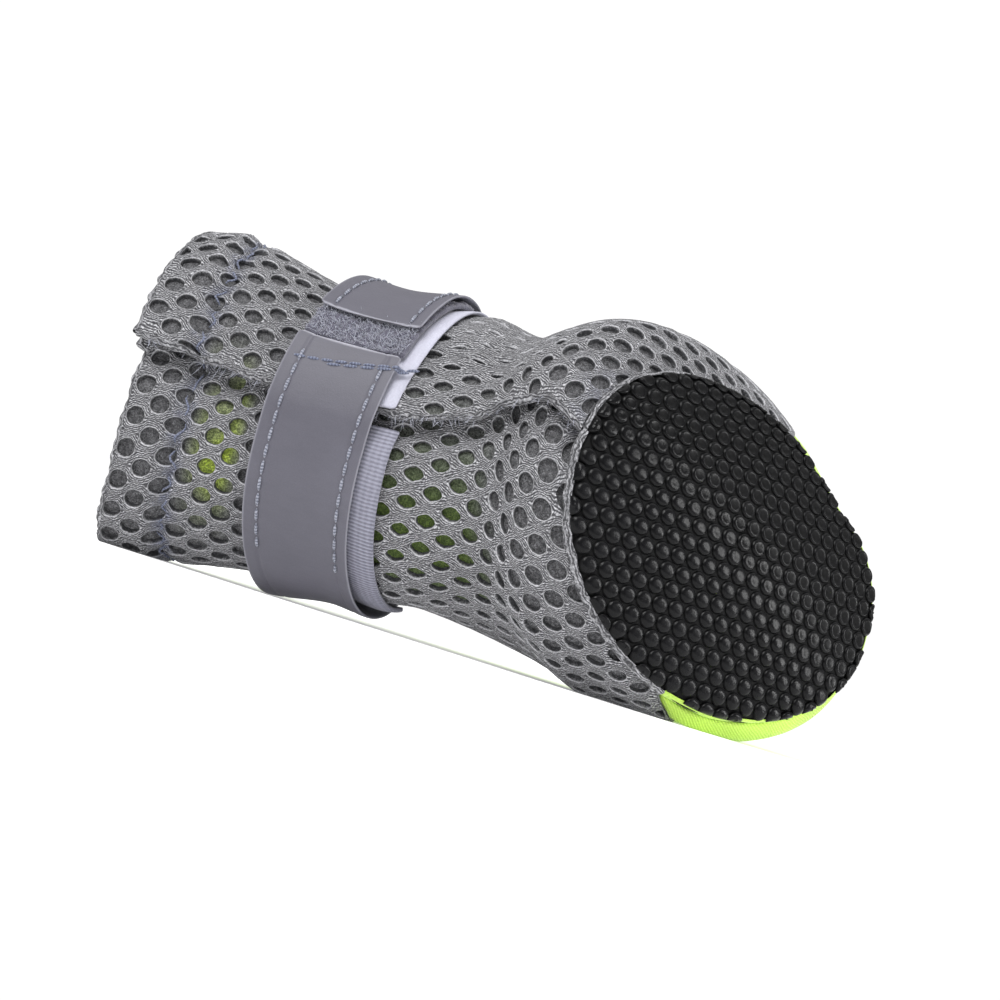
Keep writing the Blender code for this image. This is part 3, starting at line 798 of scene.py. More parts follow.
def build_mesh(zone, shift_column, shift_round):
    flat = lay_flat(zone)
    rows, columns = flat.shape[:2]
    low, high = flat.reshape(-1, 2).min(0), flat.reshape(-1, 2).max(0)
    cells = []
    for column in range(int(low[0] / cell_column) - 2, int(high[0] / cell_column) + 3):
        for number in range(int(low[1] / cell_round) - 2, int(high[1] / cell_round) + 3):
            cells.append((column * cell_column + shift_column,
                          (number + 0.5 * (column % 2)) * cell_round + shift_round))
    cells = np.array(cells)
    nodes = flat.reshape(-1, 2)
    gaps = np.linalg.norm(cells[:, None] - nodes[None], axis=-1)
    near = gaps.argmin(1)
    cells, near = cells[gaps.min(1) < 4.0], near[gaps.min(1) < 4.0]
    start = find_in(flat, cells, (near // columns + 0.0, near % columns + 0.0))

    turn = np.arange(segments) * 2 * math.pi / segments
    off = (turn + math.pi / 6) % (math.pi / 3) - math.pi / 6
    off = (turn % (math.pi / 3)) - math.pi / 6
    border = (cell_round / 2 / np.cos(off))[:, None] * np.stack([np.cos(turn), np.sin(turn)], -1)
    sized = np.stack([start[0] / (rows - 1) * (zone_high - zone_low) + zone_low, start[1] / (columns - 1)], -1)
    first, last = zone_angles(zone, sized[:, 0])
    centre_angle = first + (last - first) * sized[:, 1]
    open_share = hole_size(sized[:, 0], centre_angle) * rng.uniform(0.93, 1.05, len(cells))
    at, behind = sized[:, 0], from_back(centre_angle)
    bend = np.exp(-((at - 11.0) / 3.2) ** 2) * np.exp(-(behind / 50.0) ** 2)
    by_sole = 1.0 - smooth_step((at - 6.0) / 4.0)
    by_collar = smooth_step((at - 44.0) / 8.0)
    wide = hole_column * (0.72 + 0.28 * open_share) * rng.uniform(0.96, 1.04, len(cells))
    wide *= 1.0 - 0.22 * bend + 0.10 * by_collar + 0.06 * by_sole
    tall = hole_round * open_share * (1.0 + 0.26 * bend + 0.10 * by_collar + 0.16 * by_sole)
    lens = 0.10 * smooth_step((sized[:, 0] - 12.0) / 6.0) * (1 - smooth_step((sized[:, 0] - 40.0) / 10.0))
    radius = 1.0 / np.sqrt((np.cos(turn) / wide[:, None]) ** 2 + (np.sin(turn) / tall[:, None]) ** 2)
    radius *= 1.0 - lens[:, None] * np.abs(np.sin(2 * turn)) * 0.9
    radius *= 1.0 + rng.normal(0.0, 0.018, radius.shape)
    hole = radius[..., None] * np.stack([np.cos(turn), np.sin(turn)], -1)
    hole[..., 0] += 0.38 * bend[:, None] * hole[..., 1]

    share = np.array([row["share"] for row in CELL])
    depth = np.array([row["depth"] for row in CELL])
    local = hole[:, None] + (border - hole)[:, None] * share[None, :, None, None]
    points = cells[:, None, None] + local
    i, j = find_in(flat, points, (start[0][:, None, None] + np.zeros(points.shape[:3]),
                                  start[1][:, None, None] + np.zeros(points.shape[:3])))
    inside = (i > -0.02) & (i < rows - 0.98) & (j > -0.02) & (j < columns - 0.98)
    keep = inside[:, :wall_from].any(axis=(1, 2))
    distance = zone_low + np.clip(i, 0, rows - 1) / (rows - 1) * (zone_high - zone_low)
    first, last = zone_angles(zone, distance)
    share_round = np.clip(j, 0, columns - 1) / (columns - 1)
    angle = first + (last - first) * share_round
    span = (last - first) * mm_per_degree
    room = np.minimum(np.minimum(distance - zone_low, zone_high - distance),
                      np.minimum(share_round, 1 - share_round) * span)
    opened = (room[:, wall_from].min(axis=1) > -0.01) & (room[:, wall_from].mean(axis=1) > 0.30)

    depth = np.where(opened[:, None, None], depth[None, :, None], np.minimum(depth, 0.05)[None, :, None])
    value = dict(
        flow=(cells[:, 1][:, None, None] + local[..., 1] * np.where(
            opened[:, None, None], np.clip(share, 0, 1)[None, :, None] ** 0.5, 1.0)) / strand_pitch,
        along=cells[:, 0][:, None, None] + local[..., 0],
        ring=np.where(opened[:, None, None], np.clip(share, -0.1, 1)[None, :, None], 1.0) + np.zeros(local.shape[:3]),
        thread=np.exp(-((distance - seam_at(angle)) / 1.35) ** 2)
        + 0.6 * np.exp(-((distance - 1.0) / 2.5) ** 2 - ((from_back(angle) - 22) / 14.0) ** 2),
        depth=depth + np.zeros(local.shape[:3]))
    count = len(CELL)
    index = np.arange(len(cells) * count * segments).reshape(len(cells), count, segments)
    keys = np.round(points[:, 0] * 500).astype(int)
    found = {}
    flat_keys = keys.reshape(-1, 2).tolist()
    border_index = index[:, 0].reshape(-1).copy()
    for n, key in enumerate(map(tuple, flat_keys)):
        border_index[n] = found.setdefault(key, border_index[n])
    index[:, 0] = border_index.reshape(len(cells), segments)

    body = cloth(distance, angle, depth)
    faces = []
    following = np.roll(index, -1, axis=2)
    for ring in range(count - 1):
        use = keep & (opened | (ring < wall_from - 1))
        quad = np.stack([index[use, ring], following[use, ring], following[use, ring + 1], index[use, ring + 1]], -1)
        faces.append(quad.reshape(-1, 4))
    faces = np.concatenate(faces)
    closed = np.where(keep & ~opened)[0]
    plugs = [index[c, wall_from - 1].tolist() for c in closed]
    flat_body = body.reshape(-1, 3)
    corner = flat_body[faces]
    area = np.linalg.norm(np.cross(corner[:, 2] - corner[:, 0], corner[:, 3] - corner[:, 1]), axis=-1)
    reach = np.linalg.norm(corner - corner[:, [1, 2, 3, 0]], axis=-1).max(axis=1)
    faces = faces[(area > 0.0004) & (reach < 2.2)]
    used = np.unique(np.concatenate([faces.reshape(-1), np.array(plugs, int).reshape(-1)]))
    place = np.zeros(len(flat_body), int)
    place[used] = np.arange(len(used))
    plug_faces = [[place[v] for v in plug] for plug in plugs
                  if 0.05 < np.linalg.norm(flat_body[plug].max(0) - flat_body[plug].min(0)) < 4.5]
    values = {key: numbers.reshape(-1)[used] for key, numbers in value.items()}
    return make("mesh_" + zone, flat_body[used], [place[faces], plug_faces], mesh_face, "upper",
                values)


build_mesh("left", 0.0, 0.0)
build_mesh("right", 0.0, 2.0)


def build_back(zone):
    """The inner face of the mesh, and the wall's inner surface behind it, facing inwards."""
    s = np.concatenate([np.linspace(zone_low, 30.0, 44, endpoint=False), np.linspace(30.0, shaft_length - 0.3, 40)])
    first, last = zone_angles(zone, s)
    q = np.linspace(0.0, 1.0, 80)
    angle = first[:, None] * (1 - q) + last[:, None] * q
    distance = np.repeat(s[:, None], len(q), 1)
    behind = from_back(angle)
    green = np.exp(-((behind + 48.0) / 36.0) ** 2) * smooth_step((distance - 11.0) / 5.0) * smooth_step((34.0 - distance) / 5.0)
    # Painted light: a patchy band of light on the inner face below the collar
    lit = np.exp(-((behind + 28.0) / 22.0) ** 2) * np.exp(-((distance - 54.0) / 3.3) ** 4)
    patch = smooth_step(0.5 + 0.9 * ripple(distance, behind * mm_per_degree, 5, 3.2))
    values = dict(green=np.clip(green * 1.1, 0, 1), lit=np.clip(lit * (0.45 + patch), 0, 1))
    parts = []
    numbers = {"green": [], "lit": []}
    faces = []
    offset = 0
    for depth, flip in ((back_depth, False), (wall, True)):
        grid = cloth(distance, angle, depth)
        parts.append(grid.reshape(-1, 3))
        part = grid_faces(*distance.shape, offset)
        faces.append(part[:, ::-1] if flip else part)
        for key in numbers:
            numbers[key].append(values[key].reshape(-1))
        offset += grid.shape[0] * grid.shape[1]
    make("mesh_inner_" + zone, np.concatenate(parts), faces, mesh_back, "upper",
         {key: np.concatenate(v) for key, v in numbers.items()})


build_back("left")
build_back("right")


def strip(name, lines, look, node, values, closed=False):
    """A surface through parallel lines of points."""
    lines = np.array(lines)
    return make(name, lines.reshape(-1, 3), [grid_faces(*lines.shape[:2])], look, node, values)


def sole_roll(name, angles, look, node, more):
    """The upper's lowest edge, turned down over the side of the sole."""
    rim, centre = plate_edge(angles)
    away = rim - centre
    reach = np.linalg.norm(away[:, :2], axis=1)
    wave = 0.10 * ripple(angles * mm_per_degree, angles * 0, 12, 0.9)
    profile = [(-0.60, 0.60), (-0.05, 0.50), (0.08, 0.20), (0.14, -0.20), (0.12, -0.65), (0.05, -1.00), (-0.06, -1.25),
               (-0.30, -1.35)]
    lines = []
    for out, level in profile:
        at = centre + away * (1.0 + (out + more + wave) / reach)[:, None]
        at[:, 2] = level + 0.5 * wave
        lines.append(to_floor(at, 0.0))
    count = len(profile)
    flow = np.repeat(np.linspace(0, 3.0, count)[:, None], len(angles), 1)
    place = np.tile(angles * mm_per_degree, count)
    strip(name, lines, look, node, dict(flow=flow.reshape(-1), along=place, around=flow.reshape(-1) * 0.6))


def build_edges():
    """The folded collar, the cut flap edges and the turned seams."""
    swell = np.linspace(0.0, math.pi, 9)
    for zone in ("left", "right"):
        first, last = zone_angles(zone, np.array(shaft_length - 0.7))
        angles = np.linspace(first, last, 260)
        arc = angles * mm_per_degree
        wave = 0.22 * ripple(arc, arc * 0, 3, 0.9) + 0.12 * np.sin(arc * 2 * math.pi / 4.9)
        lines = []
        for turn in swell:
            s = zone_high + (0.75 + wave) * math.sin(turn)
            depth = wall / 2 * (1 - math.cos(turn)) - 0.12 * math.sin(turn)
            lines.append(cloth(s, angles, depth))
        flow = np.repeat(np.linspace(0, 4.5, len(swell))[:, None], len(angles), 1)
        strip("mesh_collar_fold_" + zone, lines, mesh_edge, "upper",
              dict(flow=flow.reshape(-1), along=np.tile(arc, len(swell))))
        s = np.linspace(zone_low, zone_high + 0.4, 300)
        first, last = zone_angles(zone, s)
        for side, edge, way in (("first", first, -1.0), ("last", last, 1.0)):
            free = (zone == "right") == (side == "first")
            swing = 0.55 if free else 0.25
            wave = (0.22 if free else 0.08) * ripple(s, s * 0, 9 if free else 4, 0.8)
            lines = []
            for turn in swell:
                a = edge + way * (swing + wave) * math.sin(turn) / mm_per_degree
                depth = wall / 2 * (1 - math.cos(turn))
                out, hem = cloth_out(s, edge)
                lines.append(layer(s, a, out - depth, hem))
            flow = np.repeat(np.linspace(0, 4.5, len(swell))[:, None], len(s), 1)
            strip("mesh_edge_%s_%s" % (zone, side), lines, mesh_edge, "upper",
                  dict(flow=flow.reshape(-1), along=np.tile(s, len(swell))))
        first, last = zone_angles(zone, np.array(zone_low))
        angles = np.linspace(first, last, 200)
        sole_roll("mesh_sole_edge_" + zone, angles, mesh_edge, "upper", 0.10)
    row = section(np.array(zone_low))
    sole_roll("front_knit_edge", np.linspace(row[SEAM_R] - 0.5, row[SEAM_L] + 0.5, 200), knit, "front_panel",
              -0.15)


build_edges()


def build_front():
    """The lime knit panel and the lime lining behind it."""
    s = np.linspace(zone_low, shaft_length - 0.6, 150)
    row = section(s)
    q = np.linspace(0.0, 1.0, 60)
    first, last = row[..., SEAM_R] + panel_side - 0.6, row[..., SEAM_L] - panel_side + 0.6
    angle = first[:, None] * (1 - q) + last[:, None] * q
    distance = np.repeat(s[:, None], len(q), 1)
    tuck = 0.55 * (np.exp(-((q - 0.0) / 0.02) ** 2) + np.exp(-((q - 1.0) / 0.02) ** 2))
    outer = layer(distance, angle, creases(distance, angle) - tuck)
    inner = layer(distance, angle, creases(distance, angle) - panel_thickness - 0.0 * tuck)
    count = len(s) * len(q)
    edge = np.concatenate([np.arange(len(q)), np.arange(1, len(s)) * len(q) + len(q) - 1,
                           count - 1 - np.arange(1, len(q)), np.arange(len(s) - 2, 0, -1) * len(q)])
    following = np.roll(edge, -1)
    faces = [grid_faces(len(s), len(q)), grid_faces(len(s), len(q), count)[:, ::-1],
             np.stack([following, edge, edge + count, following + count], -1)]
    along = distance
    around = (angle - 180.0) * mm_per_degree
    values = dict(along=np.tile(along.reshape(-1), 2), around=np.tile(around.reshape(-1), 2))
    make("front_knit", np.concatenate([outer.reshape(-1, 3), inner.reshape(-1, 3)]), faces, knit, "front_panel",
         values)
    first, last = row[..., SEAM_R] - 1.0, row[..., SEAM_L] + 1.0
    angle = first[:, None] * (1 - q) + last[:, None] * q
    top = layer(distance, angle, creases(distance, angle) - panel_thickness - layer_gap)
    under = layer(distance, angle, creases(distance, angle) - wall)
    make("front_lining", np.concatenate([top.reshape(-1, 3), under.reshape(-1, 3)]), faces, knit, "upper",
         values)


build_front()


# Sole
dot_pitch = 3.0
dot_row = 2.6
dot_radius = 1.49
dot_height = 0.62
dot_turn = -9.0
dot_sides = 18
dot_squash = [(-34.3, -26.0), (-31.8, -25.0), (-29.0, -23.8), (-26.5, -22.5), (-23.8, -21.1), (-21.3, -19.4),
              (-18.8, -17.4), (-16.0, -15.2), (-13.5, -12.8), (-8.3, -8.3), (30.0, 30.0)]
plate_drop = sole_thickness - dot_height


def plate_level(x, y, level):
    """Height of the dished plate at points of the boot's ground plane, and how far out they are."""
    angles = np.linspace(0.0, 360.0, 361)
    rim, centre = plate_edge(angles)
    toward = np.arctan2(rim[:, 1], rim[:, 0] - centre[0])
    reach = np.hypot(rim[:, 1], rim[:, 0] - centre[0])
    order = np.argsort(toward)
    bearing = np.arctan2(y, x - centre[0])
    limit = np.interp(bearing, toward[order], reach[order], period=2 * math.pi)
    out = np.hypot(y, x - centre[0]) / limit
    return level - sole_dish * (1.0 - np.minimum(out, 1.0) ** 2), out, limit


def build_sole():
    angles = np.linspace(0.0, 360.0, 240, endpoint=False)
    rim, centre = plate_edge(angles)
    radii = np.concatenate([np.linspace(0.0, 0.96, 26)[1:], [0.985, 0.997, 1.0]])
    points, top = [], []

    def ring(radius, level):
        at = centre + (rim - centre) * [radius, radius, 0.0]
        at[:, 2] = level - sole_dish * (1.0 - radius ** 2)
        points.append(at)
        top.append(np.zeros(len(at)))

    for radius in radii:
        ring(radius, -plate_drop + 1.1 * max(0.0, (radius - 0.94) / 0.06) ** 1.5)
    ring(1.0, -0.3)
    for radius in radii[::-1]:
        ring(radius * 0.998, 0.0)
    rows = len(points)
    count = len(angles)
    points = list(np.concatenate(points))
    points.append(centre + [0.0, 0.0, -plate_drop - sole_dish])
    points.append(centre + [0.0, 0.0, -sole_dish])
    faces = [grid_faces(rows, count, 0, True)[:, ::-1]]
    j = np.arange(count)
    k = (j + 1) % count
    low, high = rows * count, rows * count + 1
    faces.append(np.stack([j, k, np.full(count, low)], -1)[:, ::-1])
    faces.append(np.stack([(rows - 1) * count + j, (rows - 1) * count + k, np.full(count, high)], -1))
    top = [0.0] * len(points)

    profile = [(1.00, -0.45), (0.98, 0.00), (0.92, 0.20), (0.81, 0.38), (0.66, 0.50), (0.48, 0.58), (0.30, 0.615),
               (0.14, 0.62)]
    cosine, sine = math.cos(math.radians(dot_turn)), math.sin(math.radians(dot_turn))
    turn = np.arange(dot_sides) * 2 * math.pi / dot_sides
    rows_y = np.arange(-14, 13)
    before, after = np.array(dot_squash).T
    half = sole_length / 2
    for row in rows_y:
        for number in range(-12, 13):
            across, up = (number + 0.5 * (row % 2)) * dot_pitch, row * dot_row + 0.4
            x = centre[0] + across * cosine - up * sine
            y = across * sine + up * cosine
            settled = float(np.interp(y, before, after))
            level, out, limit = plate_level(np.array([x]), np.array([settled]), 0.0)
            if (1.0 - out[0]) * limit[0] < -0.4:
                continue
            dimple = 0.52 * smooth_step((0.5 * (x - centre[0]) / half - 1.3 * y / half + 0.45) / 0.9)
            base = len(points)
            size = dot_radius * rng.uniform(0.97, 1.02)
            for share, up in profile:
                px = x + np.cos(turn) * size * share
                py = np.interp(y + np.sin(turn) * size * share, before, after)
                height, beyond, _ = plate_level(px, py, -plate_drop)
                pull = np.minimum(1.0, 1.0 / np.maximum(beyond, 1e-6))
                px = centre[0] + (px - centre[0]) * pull
                py = py * pull
                sink = dimple * (1 - (share / 0.72) ** 2) if share < 0.72 else 0.0
                fall = smooth_step((beyond * limit[0] - limit[0] + 0.5) / 0.9)
                high = (up - sink) * (1.0 - fall) - 0.35 * fall
                points.extend(np.stack([px, py, height - high], -1))
                # top: height up the dome, which paints dome tops lighter and gaps and dimples darker as highlight and
                # shade
                top.extend([max(up - 1.6 * sink, 0.0) / dot_height] * dot_sides)
            height = plate_level(np.array([x]), np.array([settled]), -plate_drop)[0][0]
            points.append(np.array([x, settled, height - dot_height + dimple]))
            top.append(max(0.0, 1.0 - 2.0 * dimple))
            faces.append(grid_faces(len(profile), dot_sides, base, True))
            last = base + (len(profile) - 1) * dot_sides
            tip = base + len(profile) * dot_sides
            j = np.arange(dot_sides)
            faces.append(np.stack([last + j, last + (j + 1) % dot_sides, np.full(dot_sides, tip)], -1))
    lying = to_floor(np.array(points), 0.0)
    make("sole_dotted", lying, faces, rubber, "sole", dict(top=top))


build_sole()


def build_insole():
    angles = np.linspace(0.0, 360.0, 120, endpoint=False)
    rim, centre = plate_edge(angles)
    points = []
    profile = [(0.0001, 1.0)] + [(r, 1.0) for r in np.linspace(0.08, 0.96, 14)] + [(0.99, 0.85), (1.0, 0.5), (0.99, 0.15)]
    profile += [(r, 0.0) for r in np.linspace(0.96, 0.08, 10)] + [(0.0001, 0.0)]
    for radius, high in profile:
        share = radius * insole_share
        at = centre + (rim - centre) * [share, share, 0.0]
        at[:, 2] = layer_gap + insole_thickness * high - sole_dish * (1.0 - share ** 2)
        points.append(at)
    lying = to_floor(np.concatenate(points), 0.0)
    make("insole_felt", lying, [grid_faces(len(profile), len(angles), 0, True)], felt, "insole")


build_insole()


# Strap
def strap_point(low, width, share, angle, out, cover):
    turn = np.radians(angle)
    drop = strap_front_drop * (1.0 - np.cos(turn)) + strap_side_drop * np.sin(turn)
    return layer(low + width * share - drop, angle, out, cover)


strap_row = section(np.array(strap_low_edge + tape_inset + tape_width / 2))
strap_edge = float(strap_row[EDGE])
strap_lift = float(strap_row[LIFT])


def rise_at(angle):
    return flap_rise(strap_edge, strap_lift, angle)


def dip_at(angle):
    return flap_dip(strap_edge, angle + 360.0)


tape_shown = 0.42
rib_pitch = 0.58
stitch_lines = (0.115, 0.865)


def tape_out(angles):
    lifted = rise_at(np.array([strap_edge]))[0]
    over_pad = layer_gap * 3 + base_thickness + pad_thickness + 0.1
    over_webbing = layer_gap * 2 + webbing_thickness + 0.1
    over_flap = layer_gap * 2 + base_thickness + lifted + 0.1
    flat = layer_gap + 0.1
    out = flat + (over_pad - flat) * (1.0 - smooth_step((angles - pad_end - 3.0) / 26.0))
    out = out + (over_webbing - flat) * smooth_step((angles - 226.0) / 18.0)
    out = out + (over_flap - over_webbing) * smooth_step((angles - 340.0) / 14.0)
    out = out + tape_slack * np.exp(-(((angles - 257.0) / 26.0) ** 2))
    return out + rise_at(np.maximum(angles, tab_end)) * (angles < 90.0)


def band(name, low, width, angles, under, thickness, look, node, across=18, share=None, corner=1.2,
         extra=None):
    """A flat strap with rounded edges; its ends have rounded corners of the given size in mm."""
    share = np.linspace(0.0, 1.0, across) if share is None else share
    across = len(share)
    section_share = np.concatenate([share, [1.0 + 0.004], share[::-1], [-0.004]])
    section_up = np.concatenate([np.ones(across), [0.5], np.zeros(across), [0.5]])
    soft = 0.18 * (np.exp(-section_share / 0.03) + np.exp(-(1 - section_share) / 0.03))
    section_up = np.where(section_up == 1.0, 1.0 - soft, np.where(section_up == 0.0, soft * 0.5, 0.5))
    side = np.concatenate([np.zeros(across), [0.5], np.ones(across), [0.5]])
    arc = (angles - angles[0]) * mm_per_degree
    near = np.minimum(arc, arc[-1] - arc)
    squeeze = np.where(near < corner, corner - np.sqrt(np.maximum(corner ** 2 - (corner - near) ** 2, 0.0)), 0.0) / width
    rows = []
    for k, (s, up) in enumerate(zip(section_share, section_up)):
        shares = np.clip(s, 0, 1) * (1 - 2 * squeeze) + squeeze + (s - np.clip(s, 0, 1))
        lift = under + thickness * up
        if extra is not None:
            lift = lift + extra(angles, s, side[k])
        rows.append(strap_point(low, width, shares, angles, lift, under + thickness))
    rows = np.array(rows)
    points = rows.transpose(1, 0, 2)
    count = len(section_share)
    faces = [grid_faces(len(angles), count, 0, True)]
    ends = [list(range(count))[::-1], [(len(angles) - 1) * count + n for n in range(count)]]
    numbers = {}
    edge = np.clip(1.0 - np.minimum(section_share, 1 - section_share) * width / 0.16, 0, 1)
    whole = np.repeat(near[:, None], count, 1)
    ends_pale = np.clip(1 - whole / 0.22, 0, 1)
    numbers["edge"] = np.maximum(0.45 * np.repeat(edge[None], len(angles), 0), ends_pale).reshape(-1)
    numbers["under"] = np.repeat((side >= 1.0).astype(float)[None], len(angles), 0).reshape(-1)
    numbers["rib"] = np.repeat((arc / rib_pitch)[:, None], count, 1).reshape(-1)
    numbers["cross"] = np.repeat((section_share * width / 0.95)[None], len(angles), 0).reshape(-1)
    return make(name, points.reshape(-1, 3), faces + [ends], look, node, numbers)


def build_strap():
    angles = np.arange(webbing_start, strap_edge - 4.0, 0.36)
    under = layer_gap + 0.1 - dip_at(angles)

    def ribs(angle, share, side):
        return 0.07 * np.cos((angle - angles[0]) * mm_per_degree / rib_pitch * 2 * math.pi) * (side < 0.25)

    band("strap_ribbed", strap_low_edge, webbing_width, angles, under, webbing_thickness, webbing, "strap_webbing",
         across=26, extra=ribs, corner=0.3)

    low = strap_low_edge + base_inset
    angles = np.linspace(strap_edge + 2.0, pad_end, 150)
    band("strap_base_band", low, base_width, angles, layer_gap + 0.1 + rise_at(angles), base_thickness, satin,
         "strap_loop_base", corner=0.6)

    low = strap_low_edge + tape_inset
    angles = np.linspace(tape_end + 1.2, pad_end, 150)
    pad_under = layer_gap * 2 + 0.1 + base_thickness + rise_at(angles)

    def lumps(angle, share, side):
        return 0.16 * ripple(angle * mm_per_degree, share * tape_width, 21, 0.5) * (side < 0.25)

    band("strap_pile_bed", low + 0.2, tape_width - 0.4, angles, pad_under, pad_thickness * 1.1, pile,
         "strap_loop_pad", across=60, extra=lumps, corner=0.6)

    angles = np.linspace(tab_end, 360.0 + tape_end, 420)
    def grooves(angle, share, side):
        press = sum(math.exp(-(((share - line) * tape_width) / 0.32) ** 2) for line in stitch_lines)
        return -0.14 * press * (side < 0.25) + 0.0 * angle

    fine = [np.linspace(line - 0.045, line + 0.045, 9) for line in stitch_lines]
    share = np.concatenate([np.linspace(0.0, 0.055, 5), fine[0], np.linspace(0.18, 0.80, 9), fine[1],
                            np.linspace(0.925, 1.0, 5)])
    top_cover = tape_thickness - tape_shown
    band("strap_reflective", low, tape_width, angles, tape_out(angles) + top_cover, tape_shown, reflective,
         "strap_tape", share=share, corner=0.7, extra=grooves)


build_strap()


def tubes(name, lines, radius, look, node, sides=6, taper=True):
    """Short threads as joined tubes; lines is (threads, points, 3) in mm."""
    lines = np.asarray(lines, float)
    count, steps = lines.shape[:2]
    along = np.gradient(lines, axis=1)
    along /= np.linalg.norm(along, axis=-1, keepdims=True)
    pole = np.where(np.abs(along[..., 1:2]) < 0.8, np.array([0.0, 1.0, 0.0]), np.array([1.0, 0.0, 0.0]))
    first = np.cross(along, pole)
    first /= np.linalg.norm(first, axis=-1, keepdims=True)
    second = np.cross(along, first)
    turn = np.arange(sides) * 2 * math.pi / sides
    size = np.full(steps, 1.0)
    if taper:
        size[0] = size[-1] = 0.35
        size[1] = size[-2] = 0.85
    thick = np.asarray(radius) * np.ones(count)
    ring = (first[:, :, None] * np.cos(turn)[None, None, :, None] + second[:, :, None] * np.sin(turn)[None, None, :, None])
    points = lines[:, :, None] + ring * (thick[:, None] * size[None])[:, :, None, None]
    points[..., 2] = np.maximum(points[..., 2], 0.02)
    faces, ends = [], []
    for n in range(count):
        base = n * steps * sides
        faces.append(grid_faces(steps, sides, base, True))
        ends.append(list(range(base, base + sides))[::-1])
        ends.append([base + (steps - 1) * sides + m for m in range(sides)])
    length = np.cumsum(np.linalg.norm(np.diff(lines, axis=1, prepend=lines[:, :1]), axis=-1), axis=1)
    values = dict(along=np.repeat(length[:, :, None], sides, 2).reshape(-1))
    return make(name, points.reshape(-1, 3), faces + [ends], look, node, values)


def run_of_stitches(at, start, end, long, gap, steps=7, sink=0.25):
    """Stitch lines along a path: at(t, lift) gives points in mm for a length along it."""
    lines = []
    t = start
    while t + long < end:
        part = np.linspace(t, t + long, steps)
        lift = -sink * np.abs(np.linspace(-1, 1, steps)) ** 4
        lines.append(at(part, lift))
        t += long + gap
    return lines


def build_stitches():
    low = strap_low_edge + tape_inset
    top = tape_thickness + 0.05

    def edge_line(share):
        def at(angle, lift):
            return strap_point(low, tape_width, np.full(len(angle), share), angle, tape_out(angle) + top + lift, 9.0)
        return at

    lines = []
    long, gap = 1.95 / mm_per_degree, 0.28 / mm_per_degree
    for share in stitch_lines:
        lines += run_of_stitches(edge_line(share), tab_end + 2.0, 360.0 + tape_end - 1.5, long, gap)

    def cross_line(shift, rise):
        def at(place, lift):
            share = 0.93 - place
            angle = 360.0 + tape_end - 10.5 + shift + rise * place
            out = np.where(share > -0.03, tape_out(angle) + top, tape_out(angle) + 0.1)
            return strap_point(low, tape_width, share, angle, out + lift, 9.0)
        return at

    navy = run_of_stitches(cross_line(0.0, 6.0), 0.0, 1.14, 0.115, 0.012, sink=0.12)
    navy += run_of_stitches(cross_line(-1.6, 6.6), 0.32, 1.10, 0.13, 0.02, sink=0.12)
    tubes("strap_cross_stitches", navy, 0.24, slate_thread, None)
    tubes("strap_stitches", lines, 0.25, grey_thread, None)

    hem = []
    for zone in ("left", "right"):
        first, last = zone_angles(zone, np.array(hem_seam))

        def at(angle, lift):
            s = seam_at(angle) + 0.25 * np.sin(angle * 0.9)
            out, cover = cloth_out(s, angle)
            return layer(s, angle, out + 0.06 + lift, cover)

        hem += run_of_stitches(at, float(first) + 1.0, float(last) - 1.0, 2.9 / mm_per_degree, 0.7 / mm_per_degree,
                               sink=0.35)
    tubes("hem_stitches", hem, 0.19, slate_thread, None)


build_stitches()


def build_fuzz():
    """Loose fibres along the flap edge and on the loops."""
    lines, radius = [], []

    def hair(root, way, length, bend, thick):
        steps = 5
        t = np.linspace(0, 1, steps)[:, None]
        lines.append(root + way * length * t + bend * (t ** 2) * length)
        radius.append(thick)

    s = rng.uniform(zone_low + 1.0, zone_high, 260)
    edge = zone_angles("right", s)[0]
    for distance, angle in zip(s, edge):
        out, hem = cloth_out(np.array(distance), np.array(angle))
        root = layer(distance, angle - 0.5, out - rng.uniform(0.2, 1.6), hem)
        ahead = layer(distance, angle - 4.0, out - 0.6, hem)
        way = ahead - root
        way = way / np.linalg.norm(way) + rng.normal(0.0, 0.5, 3)
        hair(root, way, rng.uniform(0.4, 1.1), rng.normal(0.0, 0.5, 3), rng.uniform(0.03, 0.05))
    tubes("flap_fuzz", lines, np.array(radius), fuzz_fibre, None, sides=4)

    lines, radius = [], []
    low = strap_low_edge + tape_inset
    for _ in range(1500):
        angle = rng.uniform(tape_end + 1.4, tab_end + 4.0)
        share = rng.uniform(0.03, 0.97)
        over = layer_gap * 2 + 0.1 + base_thickness + rise_at(np.array(angle)) + pad_thickness * 1.05
        root = strap_point(low, tape_width, share, angle, over, 9.0)
        up = strap_point(low, tape_width, share, angle, over + 1.0, 9.0) - root
        way = up / np.linalg.norm(up) + rng.normal(0.0, 0.55, 3)
        hair(root, way, rng.uniform(0.25, 0.55), rng.normal(0.0, 0.7, 3), rng.uniform(0.03, 0.055))
    tubes("loop_fibres", lines, np.array(radius), fuzz_fibre, None, sides=4)


build_fuzz()


# Floor, light and camera
def plain(name, colour, roughness):
    look = Look(name, roughness)
    tone = look.noise(60.0, 3.0)
    look.colour(look.mix(tone, tuple(c * 0.985 for c in colour), colour))
    return look.material


floor_mesh = bpy.data.meshes.new("floor")
reach = 0.42
floor_mesh.from_pydata([(-reach, -reach, 0), (reach, -reach, 0), (reach, reach, 0), (-reach, reach, 0)], [],
                       [(0, 1, 2, 3)])
floor = bpy.data.objects.new("floor", floor_mesh)
bpy.context.scene.collection.objects.link(floor)
floor_mesh.materials.append(plain("pale_floor", (0.94, 0.94, 0.94), 0.9))
glow = floor_mesh.materials[0].node_tree.nodes["Principled BSDF"].inputs
glow["Emission Color"].default_value = (1.0, 1.0, 1.0, 1.0)
glow["Emission Strength"].default_value = 0.30

